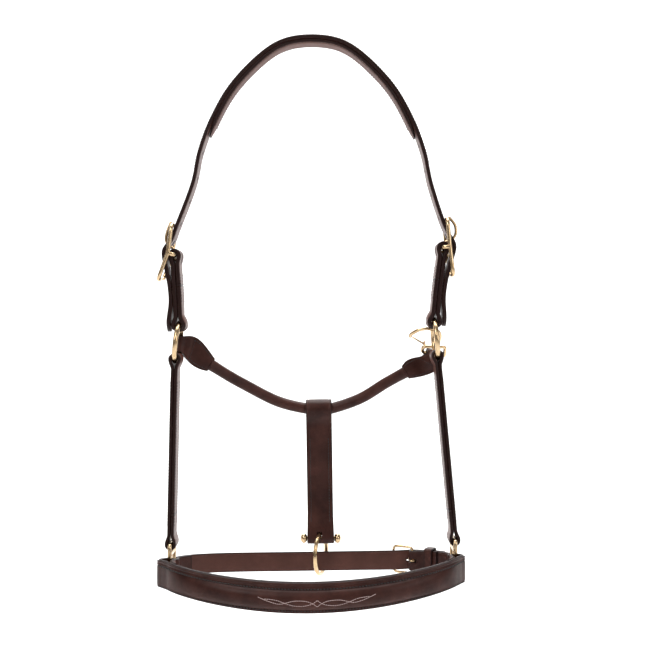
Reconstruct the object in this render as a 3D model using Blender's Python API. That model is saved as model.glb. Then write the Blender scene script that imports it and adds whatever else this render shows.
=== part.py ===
"""Leather headcollar: padded crownpiece, two crown buckles, cheek rings, raised noseband,
buckled chin strap, rolled throat on a snap, and a centre strap that carries a tie ring.

Frame: metres, +Z up, the noseband faces -Y, and the origin is at the poll, on the underside
of the crown lining. Left and right are the -X and +X sides.
"""
import bpy
import bmesh
from math import acos, atan2, cos, degrees, pi, radians, sin
from mathutils import Vector

# ---------------------------------------------------------------- driving dimensions
TOUCH_GAP = 0.0003          # left between pieces that rest on each other
RUN_GAP = 0.0004            # left between a metal bar and the leather folded round it

STRAP_WIDTH = 0.025         # crown, billets and cheeks
CROWN_THICKNESS = 0.0038
BILLET_LAYER = 0.0042       # one layer of a doubled billet
CHEEK_LAYER = 0.0032        # one layer of a doubled cheek strap
CHEEK_LENGTH = 0.181        # ring wire to square bar
LINING_THICKNESS = 0.0035
LINING_HALF_SPAN = 0.106    # how far the crown lining reaches to each side
CROWN_TIP_DROP = 0.050      # length of the crown end below its buckle

RING_RADIUS = 0.0195        # cheek rings, to the middle of the wire
RING_WIRE = 0.0025
BUCKLE_LENGTH = 0.056       # crown buckle, end bar to end bar
BUCKLE_SIDE_CLEAR = 0.0025
BUCKLE_WIRE = 0.0020
BUCKLE_RISE = 0.0060        # the frame's plane stands this far outside its centre bar
TONGUE_WIRE = 0.0015
TONGUE_SIDE_CLEAR = 0.0007  # on each side of a tongue in its slot
CROWN_BOW = 0.0028          # the crown strap stands this far off the billet's fold at the bar
HOLE_ABOVE_BAR = 0.0072     # where the tongue goes through the crown strap

SQUARE_WIRE = 0.0021
SQUARE_LOOP = 0.0099        # top bar to middle bar
SQUARE_SIDE_CLEAR = 0.0035  # cheek strap's edge to the middle of a square's front or rear bar
SQUARE_CORNER = 0.0030
NOSEBAND_END_WIDTH = 0.0272
NOSEBAND_MID_WIDTH = 0.0292
NOSEBAND_LAYER = 0.0032
NOSEBAND_SAGITTA = 0.065    # how far the noseband bows forward of the squares
NOSEBAND_DROOP = 0.0105
OVERLAY_HALF_WIDTH = 0.0134
OVERLAY_THICKNESS = 0.0015
PADDING_HALF_WIDTH = 0.0096
PADDING_HEIGHT = 0.0024
NOSE_LINING = 0.0024
NOSEBAND_LAP = 0.034        # sewn lap where the noseband folds round a square

CHIN_WIDTH = 0.0203
CHIN_LAYER = 0.0030
CHAPE_LAYER = 0.0022
CHIN_SAGITTA = 0.044
CHIN_MIDDLE_DROP = 0.0077      # chin strap's middle below the middle of the squares' windows
CHIN_SEAT_CLEAR = 0.0006       # its lower edge to the window's lower bar
CHIN_BUCKLE_LENGTH = 0.020
CHIN_BUCKLE_WIRE = 0.0014
CHIN_SIDE_CLEAR = 0.0019    # chin strap's edge to its buckle's side rail
CHIN_TONGUE_WIRE = 0.0011
CHIN_BUCKLE_RISE = 0.0045
CHIN_BUCKLE_X = 0.104       # heel bar of the chin buckle
CHIN_LAP = 0.046            # sewn lap where the chin strap folds round the left square
CHIN_TIP_SHARE = 0.935      # how far round the rear half the chin strap's tip reaches
KEEPER_X = 0.121
KEEPER_WIDTH = 0.009
KEEPER_LEATHER = 0.0016
KEEPER_INNER_CLEAR = 0.0013     # the keeper slides straight along a strap that curves
KEEPER_OUTER_CLEAR = 0.0019
KEEPER_SIDE_CLEAR = 0.0012

ROLL_RADIUS = 0.00575
CORE_RADIUS = 0.0025
TAB_LAYER = 0.0026
TAB_WIDTH = 0.029           # widest part of a throat tab
TAB_FOLD_WIDTH = 0.0158     # where a tab folds round its metal
TAB_END_WIDTH = 0.021
TAB_CHEEK_GAP = 0.0075      # along the left ring, from the cheek strap's edge to the tab's edge
HUG_CLEAR = 0.0013          # extra room where a tab is folded round a curved wire

SNAP_WIRE = 0.0018
SNAP_TILT = radians(45)
SNAP_BILLET_GAP = 0.01813   # along the right ring, from the billet's edge to the snap's hook

CENTRE_WIDTH = 0.027
CENTRE_LAYER = 0.0030
ROLL_CLEAR = 0.0016         # the centre strap hangs loosely over the curved roll
BOLT_RADIUS = 0.0024
BALL_RADIUS = 0.0053
BALL_HALF_LENGTH = 0.0037
BALL_CLEAR = 0.0005         # centre strap's edge to a ball
TIE_CLEAR = 0.0002          # between the bolt and the ring that hangs on it
TIE_SLOT_WIDTH = 0.0110
TIE_SLOT_LOW = -0.0008      # the slot's lower and upper ends, from the bolt's middle
TIE_SLOT_HIGH = 0.0088
TIE_RADIUS = 0.0210
TIE_WIRE = 0.0022
TIE_TURN = radians(16)

# ---------------------------------------------------------------- where the two sides hang
SIDES = {
    "left": {"sign": -1, "ring": (-0.134, -0.297), "ring_lean": radians(6.5), "bar": (-0.136, -0.211),
             "buckle_lean": radians(20.0), "frame_bend": 0.0062, "cheek_lean": radians(1.2)},
    "right": {"sign": 1, "ring": (0.123, -0.2935), "ring_lean": radians(5.0), "bar": (0.130, -0.2035),
              "buckle_lean": radians(7.0), "frame_bend": 0.0010, "cheek_lean": radians(5.3)},
}
CROWN_ARCH = [(0.0, 0.0057), (0.028, 0.0015), (0.052, -0.0135), (0.080, -0.0430), (0.099, -0.0760),
              (0.111, -0.1080), (0.118, -0.1400)]
ROLL_ROUTE = [(-0.1050, 0.0280, -0.3200), (-0.0880, 0.0345, -0.3312), (-0.0720, 0.0405, -0.3408),
              (-0.0380, 0.0495, -0.3590), (-0.0090, 0.0535, -0.3670), (0.0065, 0.0540, -0.3680),
              (0.0205, 0.0535, -0.3672), (0.0500, 0.0485, -0.3565), (0.0760, 0.0400, -0.3400),
              (0.0970, 0.0315, -0.3277)]
CENTRE_TOP = (0.0065, 0.0540, -0.3680)
CENTRE_FOOT_X = 0.0085

# ---------------------------------------------------------------- values that follow
SQUARE_HALF_DEPTH = STRAP_WIDTH / 2 + SQUARE_SIDE_CLEAR
TAB_DIP = pi / 2 - (STRAP_WIDTH / 2 + TAB_FOLD_WIDTH / 2 + TAB_CHEEK_GAP) / RING_RADIUS
BOLT_HALF_LENGTH = CENTRE_WIDTH / 2 + BALL_CLEAR + BALL_HALF_LENGTH
BILLET_OFFSET = (BILLET_LAYER + TOUCH_GAP) / 2
CHEEK_OFFSET = (CHEEK_LAYER + TOUCH_GAP) / 2
BILLET_RING_EYE = RING_WIRE + RUN_GAP + TOUCH_GAP + BILLET_LAYER / 2
CHEEK_RING_EYE = RING_WIRE + RUN_GAP + TOUCH_GAP + CHEEK_LAYER / 2
BAR_EYE = BUCKLE_WIRE + RUN_GAP + BILLET_LAYER / 2
SQUARE_EYE = SQUARE_WIRE + RUN_GAP + CHEEK_LAYER / 2
SQUARE_WINDOW = NOSEBAND_END_WIDTH + 0.0010
SQUARE_HEIGHT = SQUARE_LOOP + SQUARE_WINDOW + 2 * SQUARE_WIRE
SQUARE_MIDDLE = SQUARE_LOOP + SQUARE_WIRE + SQUARE_WINDOW / 2
CHIN_SEAT = (SQUARE_WINDOW - CHIN_WIDTH) / 2 - CHIN_SEAT_CLEAR
CHIN_DROOP = CHIN_MIDDLE_DROP - CHIN_SEAT
TONGUE_SLOT = 2 * TONGUE_WIRE + 2 * TONGUE_SIDE_CLEAR
BUCKLE_HALF_WIDTH = STRAP_WIDTH / 2 + BUCKLE_SIDE_CLEAR + BUCKLE_WIRE
CHIN_HALF_FRAME = CHIN_WIDTH / 2 + CHIN_SIDE_CLEAR + CHIN_BUCKLE_WIRE

LEATHER = ((0.045, 0.022, 0.018), 0.0, 0.42)
LINING = ((0.115, 0.062, 0.050), 0.0, 0.60)
BRASS = ((0.80, 0.62, 0.36), 1.0, 0.22)


# ---------------------------------------------------------------- small helpers
def make_material(name, finish):
    """A plain Principled material from a (colour, metallic, roughness) triple."""
    colour, metallic, roughness = finish
    material = bpy.data.materials.new(name)
    material.use_nodes = True
    shader = material.node_tree.nodes["Principled BSDF"]
    shader.inputs["Base Color"].default_value = (*colour, 1.0)
    shader.inputs["Metallic"].default_value = metallic
    shader.inputs["Roughness"].default_value = roughness
    return material


def add_object(name, vertices, faces, finish, origin=(0, 0, 0)):
    """Link a closed mesh as a named object whose origin is at the given world point."""
    anchor = Vector(origin)
    mesh = bpy.data.meshes.new(name)
    mesh.from_pydata([Vector(v) - anchor for v in vertices], [], faces)
    cage = bmesh.new()
    cage.from_mesh(mesh)
    bmesh.ops.recalc_face_normals(cage, faces=cage.faces)
    cage.to_mesh(mesh)
    cage.free()
    mesh.shade_smooth()
    mesh.set_sharp_from_angle(angle=radians(40))
    mesh.materials.append(make_material(name + "_material", finish))
    item = bpy.data.objects.new(name, mesh)
    item.location = anchor
    bpy.context.scene.collection.objects.link(item)
    return item


def make_helper(item):
    """Keep an object only as a shape for another object's Boolean."""
    item.hide_render = True
    item.display_type = "WIRE"
    return item


def boolean(item, other, operation):
    """Cut or join a helper shape."""
    step = item.modifiers.new(operation.lower(), "BOOLEAN")
    step.operation = operation
    step.object = make_helper(other)


def smooth_route(points, count):
    """Points at even steps of length on a Catmull-Rom curve through hand-placed points."""
    knots = [Vector(p) for p in points]
    ends = [2 * knots[0] - knots[1]] + knots + [2 * knots[-1] - knots[-2]]
    fine = []
    for i in range(1, len(ends) - 2):
        a, b, c, d = ends[i - 1:i + 3]
        for k in range(16):
            t = k / 16
            fine.append(0.5 * (2 * b + (c - a) * t + (2 * a - 5 * b + 4 * c - d) * t * t
                               + (3 * b - a - 3 * c + d) * t ** 3))
    fine.append(knots[-1])
    return even_steps(fine, count)


def even_steps(points, count):
    """Resample a polyline into count points at equal distances."""
    reach = [0.0]
    for a, b in zip(points, points[1:]):
        reach.append(reach[-1] + (b - a).length)
    result = []
    k = 0
    for i in range(count):
        target = reach[-1] * i / (count - 1)
        while k < len(points) - 2 and reach[k + 1] < target:
            k += 1
        span = max(reach[k + 1] - reach[k], 1e-12)
        result.append(points[k].lerp(points[k + 1], min((target - reach[k]) / span, 1.0)))
    return result


def rectangle(width, thickness, columns=1, middle=0.0):
    """Strap section as (across, outward) points, with its faces split into columns."""
    steps = [width * (j / columns - 0.5) for j in range(columns + 1)]
    top = [(w, middle + thickness / 2) for w in steps]
    bottom = [(w, middle - thickness / 2) for w in reversed(steps)]
    return top + bottom


def sweep(name, path, section, place, finish, widths=None, origin=(0, 0, 0)):
    """Sweep a section along a flat path.

    path holds (a, b) points, place turns (a, b, across) into a world point, and the
    section's outward values are laid along the path's left-hand normal in its own plane.
    """
    last = len(path) - 1
    ring_size = len(section)
    vertices = []
    for i, (a, b) in enumerate(path):
        a0, b0 = path[max(i - 1, 0)]
        a1, b1 = path[min(i + 1, last)]
        first = Vector((a - a0, b - b0))
        second = Vector((a1 - a, b1 - b))
        first = first.normalized() if first.length > 0 else second.normalized()
        second = second.normalized() if second.length > 0 else first
        tangent = (first + second).normalized()
        stretch = 1 / max(tangent.dot(second), 0.7)
        normal = Vector((-tangent.y, tangent.x)) * stretch
        factor = widths[i] if widths else 1.0
        for across, outward in section:
            vertices.append(place(a + normal.x * outward, b + normal.y * outward, across * factor))
    faces = []
    for i in range(last):
        for j in range(ring_size):
            k = (j + 1) % ring_size
            here = i * ring_size
            there = here + ring_size
            faces.append((here + j, here + k, there + k, there + j))
    half = ring_size // 2
    for start in (0, last * ring_size):
        for j in range(half - 1):
            faces.append((start + j, start + j + 1, start + ring_size - 2 - j, start + ring_size - 1 - j))
    return add_object(name, vertices, faces, finish, origin)


def wire(name, points, radius, finish, sides=8, closed=False, bore=0.0, origin=(0, 0, 0)):
    """Round wire or rolled leather along 3-D points; with a bore it is a tube open at both ends."""
    count = len(points)
    points = [Vector(p) for p in points]
    tangents = []
    for i in range(count):
        before = points[(i - 1) % count] if closed else points[max(i - 1, 0)]
        after = points[(i + 1) % count] if closed else points[min(i + 1, count - 1)]
        tangents.append((after - before).normalized())
    side = tangents[0].orthogonal().normalized()
    if closed:
        middle = sum(points, Vector()) / count
        side = (points[0] - middle).normalized()
    rings = []
    for i in range(count):
        side = (side - tangents[i] * side.dot(tangents[i])).normalized()
        up = tangents[i].cross(side)
        rings.append((points[i], side.copy(), up))
    vertices = []
    for centre, side, up in rings:
        for size in ([radius, bore] if bore else [radius]):
            for j in range(sides):
                angle = 2 * pi * j / sides
                vertices.append(centre + side * cos(angle) * size + up * sin(angle) * size)
    stride = sides * (2 if bore else 1)
    faces = []
    for i in range(count if closed else count - 1):
        here = i * stride
        there = ((i + 1) % count) * stride
        for skin in range(2 if bore else 1):
            for j in range(sides):
                k = (j + 1) % sides
                low = skin * sides
                faces.append((here + low + j, here + low + k, there + low + k, there + low + j))
    if not closed:
        for start in (0, (count - 1) * stride):
            if bore:
                for j in range(sides):
                    k = (j + 1) % sides
                    faces.append((start + j, start + k, start + sides + k, start + sides + j))
            else:
                faces.append(tuple(start + j for j in range(sides)))
    return add_object(name, vertices, faces, finish, origin)


def block(name, centre, axes, sizes):
    """A helper box with its own axes, for slots."""
    corners = []
    for i in (-0.5, 0.5):
        for j in (-0.5, 0.5):
            for k in (-0.5, 0.5):
                shift = axes[0] * sizes[0] * i + axes[1] * sizes[1] * j + axes[2] * sizes[2] * k
                corners.append(centre + shift)
    faces = [(0, 1, 3, 2), (4, 6, 7, 5), (0, 4, 5, 1), (2, 3, 7, 6), (0, 2, 6, 4), (1, 5, 7, 3)]
    return add_object(name, corners, faces, LEATHER)


def rounded_rectangle(half_long, half_wide, corner, steps=3):
    """Closed outline with arcs at the corners."""
    outline = []
    for quarter, (sx, sy) in enumerate([(1, 1), (-1, 1), (-1, -1), (1, -1)]):
        for k in range(steps + 1):
            angle = pi / 2 * (quarter + k / steps)
            outline.append((sx * (half_long - corner) + corner * cos(angle),
                            sy * (half_wide - corner) + corner * sin(angle)))
    return outline


# ---------------------------------------------------------------- doubled straps
def ease(distance, reach, near, far):
    """Half-cosine change from near to far over a reach."""
    share = min(max(distance / reach, 0.0), 1.0)
    return far + (near - far) * (1 + cos(pi * share)) / 2


def eye(radius, layer, reach, steps=8):
    """Fold round a bar at (0, 0): comes in below, turns on the far side, leaves above."""
    points = [(reach * k / 4, -ease(reach * k / 4, reach, radius, layer)) for k in (4, 3, 2, 1)]
    for k in range(steps + 1):
        angle = -pi / 2 - pi * k / steps
        points.append((radius * cos(angle), radius * sin(angle)))
    points += [(reach * k / 4, ease(reach * k / 4, reach, radius, layer)) for k in (1, 2, 3, 4)]
    return points


def two_eye_path(length, first, second, layer, reach, join):
    """A strap folded round two bars and butted at join, on its inner side."""
    path = [(join, -layer)]
    path += eye(first, layer, reach)
    path += [(length - s, -h) for s, h in eye(second, layer, reach)]
    path.append((join + TOUCH_GAP * 1.5, -layer))
    return path


def ring_hug(s, across, start=0.004, stop=0.026):
    """Bend a strap's eye to follow its round ring, whose middle is RING_RADIUS behind the eye."""
    share = min(max((s - start) / (stop - start), 0.0), 1.0)
    fade = 1 - share * share * (3 - 2 * share)
    turn = across / RING_RADIUS
    radius = max(min(RING_RADIUS + s, RING_RADIUS), 0.005)
    return s + fade * radius * (cos(turn) - 1), across * (1 - fade) + fade * radius * sin(turn)


def doubled_strap(name, start, end, outward, path, thickness, ring):
    """Strap in an upright plane from the top or bottom of a round ring to a straight bar."""
    start = Vector(start)
    along = Vector(end) - start
    along.normalize()
    outward = (Vector(outward) - along * Vector(outward).dot(along)).normalized()
    side = Vector((0, 1, 0))
    radial = (start - ring).normalized()

    def place(s, h, across):
        hugged, across = ring_hug(s, across)
        return start + along * s + radial * (hugged - s) + outward * h + side * across

    return sweep(name, path, rectangle(STRAP_WIDTH, thickness, 4), place, LEATHER)


# ---------------------------------------------------------------- places on each side
def upright(point):
    """World point of an (x, z) place in the middle plane of the cheeks."""
    return Vector((point[0], 0, point[1]))


def side_places(side):
    """Ring, buckle and square places that the straps of one side share."""
    info = SIDES[side]
    sign = info["sign"]
    centre = upright(info["ring"])
    up = Vector((-sign * sin(info["ring_lean"]), 0, cos(info["ring_lean"])))
    bottom = centre - up * RING_RADIUS
    cheek = Vector((sign * sin(info["cheek_lean"]), 0, -cos(info["cheek_lean"])))
    lean = info["buckle_lean"]
    return {
        "sign": sign, "ring": centre, "ring_up": up, "ring_top": centre + up * RING_RADIUS,
        "ring_bottom": bottom, "square": bottom + cheek * CHEEK_LENGTH, "bar": upright(info["bar"]),
        "down": Vector((sign * sin(lean), 0, -cos(lean))), "out": Vector((sign * cos(lean), 0, sin(lean))),
    }


PLACES = {side: side_places(side) for side in SIDES}


def buckle_point(side, u, v, y=0.0):
    """World point in a crown buckle's own frame: u down its length, v out of its plane."""
    spot = PLACES[side]
    return spot["bar"] + spot["down"] * u + spot["out"] * v + Vector((0, y, 0))


# ---------------------------------------------------------------- crownpiece
STRAP_OVER_BAR = BAR_EYE + BILLET_LAYER / 2 + CROWN_BOW + CROWN_THICKNESS / 2
STRAP_UNDER_END = BUCKLE_RISE - BUCKLE_WIRE - RUN_GAP - CROWN_THICKNESS / 2


def frame_bend(side, u):
    """How far the upper half of a buckle frame is bent out of its own plane."""
    return SIDES[side]["frame_bend"] * max(-u / (BUCKLE_LENGTH / 2), 0.0)


def billet_point(side, share, offset):
    """Point beside the billet, at a share of its length below the bar and an offset outboard."""
    spot = PLACES[side]
    along = spot["ring_top"] - spot["bar"]
    outward = Vector((0, 1, 0)).cross(along).normalized()
    if outward.x * spot["sign"] < 0:
        outward = -outward
    return spot["bar"] + along * share + outward * offset


def crown_half(side):
    """Route of one half of the crown strap, from the poll to its tip, as (x, z) points."""
    sign = PLACES[side]["sign"]
    half = BUCKLE_LENGTH / 2
    route = [(sign * x, z) for x, z in CROWN_ARCH]
    under = STRAP_UNDER_END + frame_bend(side, -half)
    middle = (STRAP_OVER_BAR + STRAP_UNDER_END + frame_bend(side, -half / 2)) / 2
    flat = BILLET_OFFSET + BILLET_LAYER / 2 + 2 * TOUCH_GAP + CROWN_THICKNESS / 2
    over_eye = BILLET_RING_EYE + BILLET_LAYER / 2 + 3 * TOUCH_GAP + CROWN_THICKNESS / 2
    points = [buckle_point(side, -half, under), buckle_point(side, -half / 2, middle),
              buckle_point(side, 0, STRAP_OVER_BAR),
              billet_point(side, 0.22, flat + 0.55 * (STRAP_OVER_BAR - flat)),
              billet_point(side, 0.45, flat + RUN_GAP), billet_point(side, 0.70, flat + RUN_GAP),
              billet_point(side, 0.97, over_eye)]
    route += [(point.x, point.z) for point in points]
    tip = buckle_point(side, half, STRAP_UNDER_END).z - CROWN_TIP_DROP
    ring = PLACES[side]["ring_top"]
    route.append((ring.x + sign * over_eye, tip))
    return route


def build_crown():
    left = crown_half("left")
    right = crown_half("right")
    knots = [Vector((x, z, 0)) for x, z in left[:0:-1] + right]
    route = [(p.x, p.y) for p in smooth_route(knots, 130)]

    def place(x, z, across):
        return Vector((x, across, z))

    tip = [0.45, 0.85, 1.0]
    widths = [tip[min(i, len(route) - 1 - i, 2)] for i in range(len(route))]
    strap = sweep("crown_strap", route, rectangle(STRAP_WIDTH, CROWN_THICKNESS), place, LEATHER, widths)
    for side in SIDES:
        spot = PLACES[side]
        slot = block(side + "_tongue_slot", buckle_point(side, -HOLE_ABOVE_BAR, STRAP_OVER_BAR),
                     (spot["down"], Vector((0, 1, 0)), spot["out"]), (0.0135, TONGUE_SLOT, 0.018))
        boolean(strap, slot, "DIFFERENCE")
    fine = smooth_route(knots, 400)
    middle = [(p.x, p.y) for p in fine if abs(p.x) < LINING_HALF_SPAN and p.y > -0.2]
    route = middle[::8] + ([middle[-1]] if (len(middle) - 1) % 8 else [])
    drop = -(CROWN_THICKNESS / 2 + TOUCH_GAP + LINING_THICKNESS / 2)
    taper = [0.6, 0.8, 0.92, 1.0]
    widths = [0.94 * taper[min(i, len(route) - 1 - i, 3)] for i in range(len(route))]
    sweep("crown_lining", route, rectangle(STRAP_WIDTH, LINING_THICKNESS, middle=drop), place, LINING, widths)


def build_crown_buckle(side):
    half = BUCKLE_LENGTH / 2
    outline = rounded_rectangle(half, BUCKLE_HALF_WIDTH, 0.007)
    quarter = len(outline) // 4
    outline.insert(3 * quarter, (0, -BUCKLE_HALF_WIDTH))
    outline.insert(quarter, (0, BUCKLE_HALF_WIDTH))
    frame_points = [buckle_point(side, u, BUCKLE_RISE + frame_bend(side, u), y) for u, y in outline]
    frame = wire(side + "_crown_buckle", frame_points, BUCKLE_WIRE, BRASS, closed=True)
    bend = 0.0015
    crank = [(BUCKLE_HALF_WIDTH, BUCKLE_RISE), (BUCKLE_HALF_WIDTH, bend), (BUCKLE_HALF_WIDTH - bend, 0)]
    bar_points = [buckle_point(side, 0, v, y) for y, v in crank]
    bar_points += [buckle_point(side, 0, v, -y) for y, v in reversed(crank)]
    bar = wire(side + "_crown_bar", bar_points, BUCKLE_WIRE * 0.999, BRASS)
    boolean(frame, bar, "UNION")
    wrap = BUCKLE_WIRE + 0.0002 + TONGUE_WIRE
    path = [(wrap * cos(radians(a)), wrap * sin(radians(a))) for a in range(80, -205, -30)]
    end_rest = BUCKLE_RISE + frame_bend(side, -half) + BUCKLE_WIRE + TOUCH_GAP + TONGUE_WIRE
    over = STRAP_OVER_BAR + CROWN_THICKNESS / 2 + RUN_GAP + TONGUE_WIRE
    path += [(-0.0050, 0.0030), (-HOLE_ABOVE_BAR, over * 0.55), (-0.0094, over * 0.85),
             (-0.0140, over + TOUCH_GAP),
             (-0.0220, max(over, end_rest) + TOUCH_GAP), (-half - 0.0015, end_rest)]
    points = [buckle_point(side, u, v) for u, v in path]
    wire(side + "_crown_tongue", points, TONGUE_WIRE, BRASS, sides=8, origin=PLACES[side]["bar"])


def build_billet(side):
    spot = PLACES[side]
    start = spot["ring_top"]
    end = spot["bar"]
    length = (end - start).length
    path = two_eye_path(length, BILLET_RING_EYE, BAR_EYE, BILLET_OFFSET, 0.014, length * 0.55)
    outward = Vector((spot["sign"], 0, 0))
    billet = doubled_strap(side + "_billet", start, end, outward, path, BILLET_LAYER, spot["ring"])
    along = (end - start).normalized()
    out = Vector((0, 1, 0)).cross(along)
    slot = block(side + "_billet_slot", end, (along, Vector((0, 1, 0)), out),
                 (0.0160, TONGUE_SLOT, 0.020))
    boolean(billet, slot, "DIFFERENCE")


def build_cheek(side):
    spot = PLACES[side]
    path = two_eye_path(CHEEK_LENGTH, CHEEK_RING_EYE, SQUARE_EYE, CHEEK_OFFSET, 0.014, CHEEK_LENGTH - 0.030)
    outward = Vector((spot["sign"], 0, 0))
    start = spot["ring_bottom"]
    doubled_strap(side + "_cheek_strap", start, spot["square"], outward, path, CHEEK_LAYER, spot["ring"])


def build_ring(side):
    spot = PLACES[side]
    points = []
    for k in range(36):
        angle = 2 * pi * k / 36
        rise = spot["ring_up"] * RING_RADIUS * cos(angle)
        points.append(spot["ring"] + rise + Vector((0, RING_RADIUS * sin(angle), 0)))
    wire(side + "_cheek_ring", points, RING_WIRE, BRASS, closed=True, origin=spot["ring"])


def build_square(side):
    spot = PLACES[side]
    top = spot["square"]
    outline = rounded_rectangle(SQUARE_HEIGHT / 2, SQUARE_HALF_DEPTH, SQUARE_CORNER)
    points = [top + Vector((0, y, -SQUARE_HEIGHT / 2 + z)) for z, y in outline]
    frame = wire(side + "_noseband_square", points, SQUARE_WIRE, BRASS, closed=True)
    ends = [top + Vector((0, y, -SQUARE_LOOP)) for y in (-SQUARE_HALF_DEPTH, SQUARE_HALF_DEPTH)]
    boolean(frame, wire(side + "_square_bar", ends, SQUARE_WIRE * 0.999, BRASS), "UNION")


# ---------------------------------------------------------------- noseband and chin strap
BAND_LEFT = PLACES["left"]["square"]
BAND_RIGHT = PLACES["right"]["square"]


def band_base(sagitta, front, share):
    """Point and outward direction on the half ellipse between the squares' bars, share 0 to 1."""
    middle = (BAND_LEFT.x + BAND_RIGHT.x) / 2
    half = (BAND_RIGHT.x - BAND_LEFT.x) / 2
    angle = pi * (1 - share)
    x = middle + half * cos(angle)
    y = SQUARE_HALF_DEPTH + sagitta * sin(angle)
    outward = Vector((sagitta * cos(angle), half * sin(angle))).normalized()
    turn = -1 if front else 1
    return Vector((x, turn * y)), Vector((outward.x, turn * outward.y))


def band_shares(sagitta, steps):
    """Shares that are evenly spaced in length along the half ellipse."""
    fine = [band_base(sagitta, False, k / 400)[0] for k in range(401)]
    reach = [0.0]
    for a, b in zip(fine, fine[1:]):
        reach.append(reach[-1] + (b - a).length)
    shares = []
    for i in range(steps + 1):
        target = reach[-1] * i / steps
        k = next(j for j in range(401) if reach[j] >= target - 1e-9)
        shares.append(k / 400)
    return shares, reach[-1]


def band_height(x, droop, seat=0.0):
    """Middle height of a band whose ends sit in the squares and whose middle hangs lower."""
    share = (x - BAND_LEFT.x) / (BAND_RIGHT.x - BAND_LEFT.x)
    share = min(max(share, 0.0), 1.0)
    ends = BAND_LEFT.z + (BAND_RIGHT.z - BAND_LEFT.z) * share - SQUARE_MIDDLE
    return ends - seat - droop * (1 - (2 * share - 1) ** 2) ** 1.3


def band_place(droop, seat=0.0):
    def place(x, y, across):
        return Vector((x, y, band_height(x, droop, seat) + across))
    return place


def band_points(sagitta, front, shares, offset):
    """Path at a given offset from the half ellipse; offset may be a function of the point's share."""
    path = []
    for share in shares:
        point, outward = band_base(sagitta, front, share)
        shift = offset(share) if callable(offset) else offset
        path.append((point.x + outward.x * shift, point.y + outward.y * shift))
    return path


def bar_turn(x, y, radius, start, stop, steps=8):
    """Arc round a square's upright bar."""
    path = []
    for k in range(steps + 1):
        angle = radians(start + (stop - start) * k / steps)
        path.append((x + radius * cos(angle), y + radius * sin(angle)))
    return path


def build_noseband():
    layer = (NOSEBAND_LAYER + TOUCH_GAP) / 2
    turn = SQUARE_WIRE + RUN_GAP + NOSEBAND_LAYER / 2
    shares, length = band_shares(NOSEBAND_SAGITTA, 48)
    lap = NOSEBAND_LAP
    reach = 0.016

    def outer(share):
        near = length * min(share, 1 - share) if share not in (0, 1) else 0
        return ease(near, reach, turn, layer)

    lapped = [share for share in shares if 0 < share * length < lap]
    inner_left = band_points(NOSEBAND_SAGITTA, True, reversed(lapped), lambda s: -outer(s))
    inner_right = band_points(NOSEBAND_SAGITTA, True, [1 - s for s in lapped], lambda s: -outer(s))
    front = -SQUARE_HALF_DEPTH
    path = inner_left + bar_turn(BAND_LEFT.x, front, turn, 0, 180)
    path += band_points(NOSEBAND_SAGITTA, True, shares[1:-1], outer)
    path += bar_turn(BAND_RIGHT.x, front, turn, 0, 180)
    path += inner_right
    ratio = NOSEBAND_MID_WIDTH / NOSEBAND_END_WIDTH - 1
    half = (BAND_RIGHT.x - BAND_LEFT.x) / 2
    middle = (BAND_RIGHT.x + BAND_LEFT.x) / 2
    widths = [1 + ratio * max(1 - ((x - middle) / (0.9 * half)) ** 2, 0) for x, y in path]
    place = band_place(NOSEBAND_DROOP)
    sweep("noseband_strap", path, rectangle(NOSEBAND_END_WIDTH, NOSEBAND_LAYER), place, LEATHER, widths)

    face = layer + NOSEBAND_LAYER / 2 + TOUCH_GAP
    raised = [share for share in shares if 0.11 < share < 0.89]
    taper = [0.55, 0.75, 0.88, 0.96, 1.0]
    widths = [taper[min(i, len(raised) - 1 - i, 4)] for i in range(len(raised))]
    base = band_points(NOSEBAND_SAGITTA, True, raised, 0.0)
    pad = [(PADDING_HALF_WIDTH * w, -(face + PADDING_HEIGHT * h))
           for w, h in [(-1, 0), (-0.95, 0.5), (-0.6, 0.92), (0.6, 0.92), (0.95, 0.5), (1, 0)]]
    sweep("noseband_padding", base[2:-2], pad, place, LINING, widths[2:-2])
    crest = PADDING_HEIGHT + TOUCH_GAP
    inside = PADDING_HALF_WIDTH + 0.0009
    cover = [(-OVERLAY_HALF_WIDTH, -face), (-OVERLAY_HALF_WIDTH, -face - OVERLAY_THICKNESS),
             (-0.9 * inside, -face - crest - 0.7 * OVERLAY_THICKNESS),
             (-0.5 * inside, -face - crest - OVERLAY_THICKNESS),
             (0.5 * inside, -face - crest - OVERLAY_THICKNESS),
             (0.9 * inside, -face - crest - 0.7 * OVERLAY_THICKNESS),
             (OVERLAY_HALF_WIDTH, -face - OVERLAY_THICKNESS), (OVERLAY_HALF_WIDTH, -face),
             (inside, -face), (0.97 * inside, -face - 0.62 * crest), (0.6 * inside, -face - crest),
             (-0.6 * inside, -face - crest), (-0.97 * inside, -face - 0.62 * crest), (-inside, -face)]
    sweep("noseband_overlay", base, cover, place, LEATHER, widths)

    clear = [share for share in shares if lap + 0.004 < share * length < length - lap - 0.004]
    depth = layer - NOSEBAND_LAYER / 2 - TOUCH_GAP - NOSE_LINING / 2
    route = band_points(NOSEBAND_SAGITTA, True, clear, depth)
    sweep("noseband_lining", route, rectangle(NOSEBAND_END_WIDTH * 0.96, NOSE_LINING), place, LINING)


def chin_offsets():
    layer = (CHIN_LAYER + TOUCH_GAP) / 2
    over_chape = CHAPE_LAYER + TOUCH_GAP + TOUCH_GAP + CHIN_LAYER / 2
    return layer, over_chape


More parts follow.
